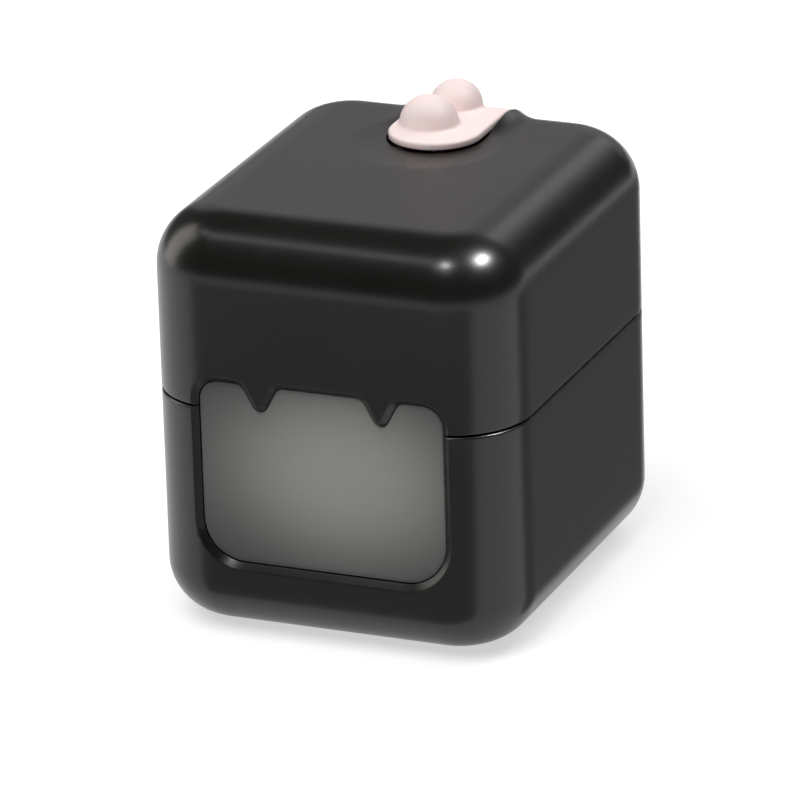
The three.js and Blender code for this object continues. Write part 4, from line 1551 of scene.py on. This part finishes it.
@dataclass(frozen=True)
class Feet:
    """Four rubber feet with a shallow hollow and a round edge."""

    sizes: CaseSizes
    radius: float = 4.5
    thickness: float = 1.4
    edge: float = 0.3
    hollow: float = 0.12
    across: float = 20.0
    along: float = 26.0

    def build(self, finish: Finish) -> None:
        """Makes and dresses the feet.

        Args:
            finish: Their finish.
        """
        share = np.linspace(0.0, 0.8, 10)
        middle_radii = self.radius * share
        middle_heights = self.hollow * np.cos(share / 0.8 * math.pi / 2) ** 2
        insets, heights = fillet_profile(self.edge, 0.0, 0.0, self.edge, 5, True)
        radii = np.concatenate([middle_radii, self.radius - insets, [self.radius, 0.0]])
        levels = np.concatenate([middle_heights, heights, [self.thickness, self.thickness]])
        grid = turned(radii, levels, 56)
        for name, side, end in (("foot_front_left", -1, -1), ("foot_front_right", 1, -1),
                                ("foot_rear_left", -1, 1), ("foot_rear_right", 1, 1)):
            place = np.array([side * self.across, end * self.along, 0.0])
            piece = closed_object(name + "_fine", [grid + place], [], [])
            present(piece, name, self.sizes, finish, Body.BASE)


# Finishes


def new_group(name: str, inputs: list[tuple[str, str, float]],
              outputs: list[tuple[str, str]]) -> bpy.types.NodeTree:
    """Empty node group with named sockets.

    Args:
        name: Name of the group.
        inputs: Name, kind and default of each input.
        outputs: Name and kind of each output.

    Returns:
        The group, with its input and output nodes placed.
    """
    group = bpy.data.node_groups.new(name, "ShaderNodeTree")
    for label, kind, value in inputs:
        socket = group.interface.new_socket(label, in_out="INPUT", socket_type=kind)
        if kind == "NodeSocketFloat":
            socket.default_value = value
    for label, kind in outputs:
        group.interface.new_socket(label, in_out="OUTPUT", socket_type=kind)
    group.nodes.new("NodeGroupInput").name = "in"
    group.nodes.new("NodeGroupOutput").name = "out"
    return group


def feed(node: bpy.types.Node, inputs: dict[str | int, object]) -> None:
    """Fills a node's inputs: a socket is linked, anything else is a value."""
    for key, value in inputs.items():
        if isinstance(value, bpy.types.NodeSocket):
            node.id_data.links.new(value, node.inputs[key])
        else:
            node.inputs[key].default_value = value


def add_node(tree: bpy.types.NodeTree, kind: str, inputs: dict[str | int, object],
             **settings: object) -> bpy.types.Node:
    """Adds a node with its settings first, because they decide which inputs it has.

    Args:
        tree: Tree that gets the node.
        kind: Type of the node.
        inputs: Values and sockets for its inputs.
        **settings: Its other settings.

    Returns:
        The node.
    """
    node = tree.nodes.new(kind)
    for name, value in settings.items():
        setattr(node, name, value)
    feed(node, inputs)
    return node


def grain_group() -> bpy.types.NodeTree:
    """Moulded grain: fine grain as a height, and a slow tone that drifts over the piece."""
    group = new_group(
        "moulded_grain",
        [("Vector", "NodeSocketVector", 0.0), ("Grain Scale", "NodeSocketFloat", 3000.0),
         ("Drift Scale", "NodeSocketFloat", 40.0)],
        [("Height", "NodeSocketFloat"), ("Tone", "NodeSocketFloat")],
    )
    given = group.nodes["in"]
    for scale, detail, roughness, result in (("Grain Scale", 3.0, 0.55, "Height"),
                                             ("Drift Scale", 4.0, 0.5, "Tone")):
        noise = add_node(group, "ShaderNodeTexNoise", {
            "Vector": given.outputs["Vector"], "Scale": given.outputs[scale],
            "Detail": detail, "Roughness": roughness,
        })
        feed(group.nodes["out"], {result: noise.outputs["Fac"]})
    return group


def wear_group() -> bpy.types.NodeTree:
    """Edge wear: where the surface turns sharply within the radius, broken up by noise."""
    group = new_group(
        "edge_wear",
        [("Vector", "NodeSocketVector", 0.0), ("Patch Scale", "NodeSocketFloat", 300.0)],
        [("Mask", "NodeSocketFloat")],
    )
    given = group.nodes["in"]
    softened = add_node(group, "ShaderNodeBevel", {"Radius": 0.0004}, samples=4)
    plain = add_node(group, "ShaderNodeNewGeometry", {})
    along = add_node(group, "ShaderNodeVectorMath",
                     {0: softened.outputs["Normal"], 1: plain.outputs["Normal"]}, operation="DOT_PRODUCT")
    turn = add_node(group, "ShaderNodeMapRange",
                    {"Value": along.outputs["Value"], "From Min": 0.995, "From Max": 0.9})
    patches = add_node(group, "ShaderNodeTexNoise", {
        "Vector": given.outputs["Vector"], "Scale": given.outputs["Patch Scale"], "Detail": 5.0,
    })
    broken = add_node(group, "ShaderNodeMapRange",
                      {"Value": patches.outputs["Fac"], "From Min": 0.42, "From Max": 0.68})
    both = add_node(group, "ShaderNodeMath",
                    {0: turn.outputs["Result"], 1: broken.outputs["Result"]}, operation="MULTIPLY")
    feed(group.nodes["out"], {"Mask": both.outputs["Value"]})
    return group


Colour = tuple[float, float, float]


@dataclass(frozen=True)
class Finish:
    """Finish of moulded or drawn pieces: two near colours, grain, wear and gloss."""

    name: str
    colour: Colour
    drift_colour: Colour
    worn_colour: Colour
    roughness: float
    roughness_spread: float
    worn_roughness: float
    grain_scale: float
    grain_depth: float
    grain_strength: float
    drift_scale: float = 40.0
    metallic: float = 0.0
    specular: float = 0.5
    subsurface: float = 0.0

    def material(self) -> bpy.types.Material:
        """The finish as a node material, made once.

        Returns:
            The material.
        """
        made = bpy.data.materials.get(self.name)
        if made is not None:
            return made
        made = bpy.data.materials.new(self.name)
        made.use_nodes = True
        tree = made.node_tree
        place = add_node(tree, "ShaderNodeTexCoord", {})
        grain = add_node(tree, "ShaderNodeGroup", {
            "Vector": place.outputs["Object"], "Grain Scale": self.grain_scale,
            "Drift Scale": self.drift_scale,
        }, node_tree=bpy.data.node_groups["moulded_grain"])
        wear = add_node(tree, "ShaderNodeGroup", {"Vector": place.outputs["Object"]},
                        node_tree=bpy.data.node_groups["edge_wear"])
        drift = self.mix(tree, grain.outputs["Tone"], self.colour, self.drift_colour)
        worn = add_node(tree, "ShaderNodeMix", {
            "Factor": wear.outputs["Mask"], "A": self.final_colour(tree, drift),
            "B": (*self.worn_colour, 1.0),
        }, data_type="RGBA")
        gloss = add_node(tree, "ShaderNodeMapRange", {
            "Value": grain.outputs["Tone"], **TONE_RANGE,
            "To Min": self.roughness - self.roughness_spread,
            "To Max": self.roughness + self.roughness_spread,
        })
        rough = add_node(tree, "ShaderNodeMix", {
            "Factor": wear.outputs["Mask"], "A": gloss.outputs["Result"], "B": self.worn_roughness,
        })
        bump = add_node(tree, "ShaderNodeBump", {
            "Height": grain.outputs["Height"], "Strength": self.grain_strength,
            "Distance": self.grain_depth,
        })
        feed(tree.nodes["Principled BSDF"], {
            "Base Color": worn.outputs["Result"], "Roughness": rough.outputs["Result"],
            "Normal": bump.outputs["Normal"], "Metallic": self.metallic,
            "Specular IOR Level": self.specular, "Subsurface Weight": self.subsurface,
            "Subsurface Scale": 0.002,
        })
        return made

    @staticmethod
    def mix(tree: bpy.types.NodeTree, factor: bpy.types.NodeSocket,
            low: Colour, high: Colour) -> bpy.types.Node:
        """Node that mixes two colours by a tone."""
        spread = add_node(tree, "ShaderNodeMapRange", {"Value": factor, **TONE_RANGE})
        return add_node(tree, "ShaderNodeMix", {
            "Factor": spread.outputs["Result"], "A": (*low, 1.0), "B": (*high, 1.0),
        }, data_type="RGBA")

    def final_colour(self, tree: bpy.types.NodeTree, drift: bpy.types.Node) -> bpy.types.NodeSocket:
        """Colour before wear."""
        return drift.outputs["Result"]

    def dress(self, piece: bpy.types.Object) -> None:
        """Gives the piece this finish alone."""
        piece.data.materials.clear()
        piece.data.materials.append(self.material())


@dataclass(frozen=True)
class FrostedFinish(Finish):
    """Frosted plastic whose colour carries painted light: a pale glow painted into the middle of the pane,
    fading towards its edges.
    """

    # Painted light: colour of the pale glow painted into the pane's middle, then that middle and the glow's
    # reach across and up.
    painted_glow_colour: Colour = (0.345, 0.35, 0.325)
    middle: tuple[float, float] = (0.0035, 0.0358)
    reach: tuple[float, float] = (0.0325, 0.0235)

    def final_colour(self, tree: bpy.types.NodeTree, drift: bpy.types.Node) -> bpy.types.NodeSocket:
        """Mixes in the painted light, a pale glow in the middle, by the distance from it, across and up.

        Args:
            tree: Node tree of the material.
            drift: Node with the plain colour.

        Returns:
            Socket with the mixed colour.
        """
        place = add_node(tree, "ShaderNodeTexCoord", {})
        centred = add_node(tree, "ShaderNodeMapping", {
            "Vector": place.outputs["Object"],
            "Location": (-self.middle[0] / self.reach[0], 0.0, -self.middle[1] / self.reach[1]),
            "Scale": (1 / self.reach[0], 0.0, 1 / self.reach[1]),
        })
        away = add_node(tree, "ShaderNodeVectorMath", {0: centred.outputs["Vector"]}, operation="LENGTH")
        near = add_node(tree, "ShaderNodeMapRange", {
            "Value": away.outputs["Value"], "From Min": 1.25, "From Max": 0.0,
        }, interpolation_type="SMOOTHERSTEP")
        # Painted light: the pale glow is mixed into the colour, fullest at the middle and gone at the edges.
        pale = add_node(tree, "ShaderNodeMix", {
            "Factor": near.outputs["Result"], "A": drift.outputs["Result"],
            "B": (*self.painted_glow_colour, 1.0),
        }, data_type="RGBA")
        return pale.outputs["Result"]


# Studio


@dataclass(frozen=True)
class PhotoCamera:
    """Camera at the photograph's viewing angle, from the fit to the outline."""

    azimuth: float = math.radians(22.8873)
    elevation: float = math.radians(20.9651)
    roll: float = math.radians(-1.7471)
    focal_pixels: float = 7082.8
    frame_pixels: float = 800.0
    across_pixels: float = 5.42
    up_pixels: float = 32.66
    distance: float = 1.358
    target: tuple[float, float, float] = (0.0, -0.0025, 0.0416)
    film: float = 36.0

    def build(self) -> None:
        """Creates the camera and makes it the scene's."""
        ahead = Vector((
            -math.sin(self.azimuth) * math.cos(self.elevation),
            math.cos(self.azimuth) * math.cos(self.elevation),
            -math.sin(self.elevation),
        ))
        level = Vector((math.cos(self.azimuth), math.sin(self.azimuth), 0.0))
        above = level.cross(ahead)
        right = math.cos(self.roll) * level + math.sin(self.roll) * above
        up = -math.sin(self.roll) * level + math.cos(self.roll) * above
        lens = bpy.data.cameras.new("photo_camera")
        lens.sensor_fit = "HORIZONTAL"
        lens.sensor_width = self.film
        lens.lens = self.focal_pixels / self.frame_pixels * self.film
        lens.shift_x = -self.across_pixels / self.frame_pixels
        lens.shift_y = -self.up_pixels / self.frame_pixels
        lens.clip_start = 0.05
        lens.clip_end = 20.0
        camera = new_object("photo_camera", lens)
        turn = Matrix((right, up, -ahead)).transposed().to_4x4()
        camera.matrix_world = Matrix.Translation(Vector(self.target) - ahead * self.distance) @ turn
        bpy.context.scene.camera = camera


@dataclass(frozen=True)
class SoftLamp:
    """Rectangular soft lamp that faces the case from a direction."""

    name: str
    azimuth: float
    elevation: float
    distance: float
    size: tuple[float, float]
    radiance: float
    task: LampTask = LampTask.BOTH
    tint: Colour = (1.0, 1.0, 1.0)
    aim: tuple[float, float, float] = (0.0, 0.0, 0.045)

    def build(self) -> None:
        """Creates the lamp; its azimuth is counted from the front towards the right."""
        azimuth, elevation = math.radians(self.azimuth), math.radians(self.elevation)
        out = Vector((math.sin(azimuth) * math.cos(elevation),
                      -math.cos(azimuth) * math.cos(elevation), math.sin(elevation)))
        lamp = bpy.data.lights.new(self.name, "AREA")
        lamp.shape = "RECTANGLE"
        lamp.size, lamp.size_y = self.size
        lamp.color = self.tint
        lamp.energy = self.radiance * math.pi * self.size[0] * self.size[1]
        made = new_object(self.name, lamp)
        made.visible_glossy = self.task is not LampTask.FILL
        made.visible_diffuse = self.task is not LampTask.GLEAM
        made.location = Vector(self.aim) + out * self.distance
        made.rotation_euler = out.to_track_quat("Z", "Y").to_euler()


@dataclass(frozen=True)
class GlossCard:
    """Plain card lying on the floor that shows in gloss alone, as a photographer's flag does."""

    name: str
    corners: tuple[tuple[float, float], ...]
    brightness: float
    lift: float = 0.001

    def build(self) -> None:
        """Creates the card with one even glow."""
        mesh = bpy.data.meshes.new(self.name)
        mesh.from_pydata([(x, y, self.lift) for x, y in self.corners], [], [range(len(self.corners))])
        card = new_object(self.name, mesh)
        card.visible_camera = False
        card.visible_diffuse = False
        card.visible_shadow = False
        paint = bpy.data.materials.new(self.name)
        paint.use_nodes = True
        feed(paint.node_tree.nodes["Principled BSDF"], {
            "Base Color": (0.0, 0.0, 0.0, 1.0), "Specular IOR Level": 0.0,
            "Emission Color": WHITE, "Emission Strength": self.brightness,
        })
        mesh.materials.append(paint)


@dataclass(frozen=True)
class Studio:
    """Pale floor, dim surroundings, soft lamps and two plain cards."""

    floor_reach: float = 3.0
    floor_steps: int = 16
    floor_colour: Colour = (0.6, 0.6, 0.6)
    floor_lift: float = 0.58
    world_strength: float = 0.1
    lamps: tuple[SoftLamp, ...] = field(default_factory=lambda: (
        SoftLamp("top_lamp", -20.0, 62.0, 1.3, (1.1, 1.1), 3.9, LampTask.FILL),
        SoftLamp("rear_fill", 150.0, 50.0, 1.3, (0.9, 0.9), 3.0, LampTask.FILL),
        SoftLamp("rear_window", 191.0, 24.0, 1.8, (1.95, 1.1), 0.425, tint=(1.04, 0.98, 1.0)),
        SoftLamp("side_window", 174.0, 30.0, 1.8, (0.4, 0.6), 0.8, LampTask.GLEAM),
        SoftLamp("strip_lamp", -36.0, 63.0, 0.9, (0.9, 0.09), 2.4, LampTask.GLEAM),
        SoftLamp("strip_end", 3.0, 66.0, 0.9, (0.1, 0.03), 190.0, LampTask.GLEAM),
        SoftLamp("right_lamp", 102.0, 57.5, 0.8, (0.2, 0.1), 135.0, LampTask.GLEAM),
        SoftLamp("left_window", -88.0, 21.0, 1.0, (0.5, 1.0), 2.5, LampTask.GLEAM,
                 (1.05, 1.0, 0.94)),
    ))
    cards: tuple[GlossCard, ...] = (
        GlossCard("front_card", ((-0.03, -0.05), (-0.3, -0.3), (0.3, -0.3), (0.035, -0.05)), 0.4),
        GlossCard("side_card", ((0.04, -0.03), (0.3, 0.15), (0.3, 0.5), (0.04, 0.5)), 0.25),
    )

    def floor(self) -> None:
        """Creates the pale floor, which is lifted to white for the camera and in gloss."""
        place = even_shares(self.floor_steps) * self.floor_reach
        x, y = np.meshgrid(place, place, indexing="ij")
        grid = np.stack([x, y, np.zeros_like(x)], -1)
        mesh = bpy.data.meshes.new("studio_floor")
        mesh.from_pydata(grid.reshape(-1, 3).tolist(), [], grid_faces(*x.shape, False, 0).tolist())
        floor = new_object("studio_floor", mesh)
        paper = bpy.data.materials.new("pale_paper")
        paper.use_nodes = True
        tree = paper.node_tree
        rays = add_node(tree, "ShaderNodeLightPath", {})
        seen = rays.outputs["Is Camera Ray"]
        for kind in ("Is Glossy Ray", "Is Transmission Ray"):
            either = add_node(tree, "ShaderNodeMath", {0: seen, 1: rays.outputs[kind]}, operation="MAXIMUM")
            seen = either.outputs["Value"]
        lift = add_node(tree, "ShaderNodeMath", {0: seen, 1: self.floor_lift}, operation="MULTIPLY")
        feed(tree.nodes["Principled BSDF"], {
            "Base Color": (*self.floor_colour, 1.0), "Roughness": 0.9, "Specular IOR Level": 0.1,
            "Emission Color": WHITE, "Emission Strength": lift.outputs["Value"],
        })
        mesh.materials.append(paper)

    def build(self) -> None:
        """Creates floor, world, lamps and cards, and sets the plain view transform."""
        self.floor()
        world = bpy.data.worlds.new("studio")
        world.use_nodes = True
        feed(world.node_tree.nodes["Background"], {"Color": WHITE, "Strength": self.world_strength})
        bpy.context.scene.world = world
        for light in (*self.lamps, *self.cards):
            light.build()
        bpy.context.scene.view_settings.view_transform = "Standard"


def main() -> None:
    """Loads the frame, builds the pieces in order and lights them."""
    logging.basicConfig(level=logging.INFO, format="%(name)s: %(message)s")
    for leftover in list(bpy.data.objects):
        bpy.data.objects.remove(leftover)
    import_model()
    grain_group()
    wear_group()
    black = Finish("satin_black", (0.0042, 0.0042, 0.0034), (0.0056, 0.0056, 0.0046), (0.03, 0.03, 0.028),
                   0.27, 0.02, 0.42, 3200.0, 0.00003, 0.08)
    pink = Finish("soft_pink", (0.92, 0.76, 0.74), (0.94, 0.79, 0.77), (0.95, 0.83, 0.81),
                  0.55, 0.04, 0.6, 2600.0, 0.00003, 0.12, specular=0.3, subsurface=0.12)
    # Frosted grey, with a pale glow of painted light in the middle of the pane.
    frosted = FrostedFinish("frosted_grey", (0.075, 0.08, 0.078), (0.09, 0.095, 0.092), (0.3, 0.3, 0.3),
                            0.55, 0.05, 0.6, 2400.0, 0.00004, 0.3, specular=0.35)
    steel = Finish("drawn_steel", (0.55, 0.56, 0.58), (0.66, 0.67, 0.69), (0.75, 0.76, 0.78),
                   0.3, 0.06, 0.22, 5000.0, 0.00002, 0.25, metallic=1.0)
    rubber = Finish("matt_rubber", (0.018, 0.018, 0.018), (0.03, 0.03, 0.029), (0.06, 0.06, 0.06),
                    0.82, 0.06, 0.9, 1800.0, 0.00006, 0.5, specular=0.3)
    sizes = CaseSizes()
    window = WindowOutline(sizes)
    hinge = Hinge(sizes)
    LidShell(sizes, window, hinge).build(black)
    BaseShell(sizes, window, hinge).build(black)
    InnerCup(sizes, window).build(frosted)
    PressTab(sizes).build(pink)
    Hardware(sizes).build(steel)
    Feet(sizes).build(rubber)
    Studio().build()
    PhotoCamera().build()


if __name__ == "__main__":
    main()
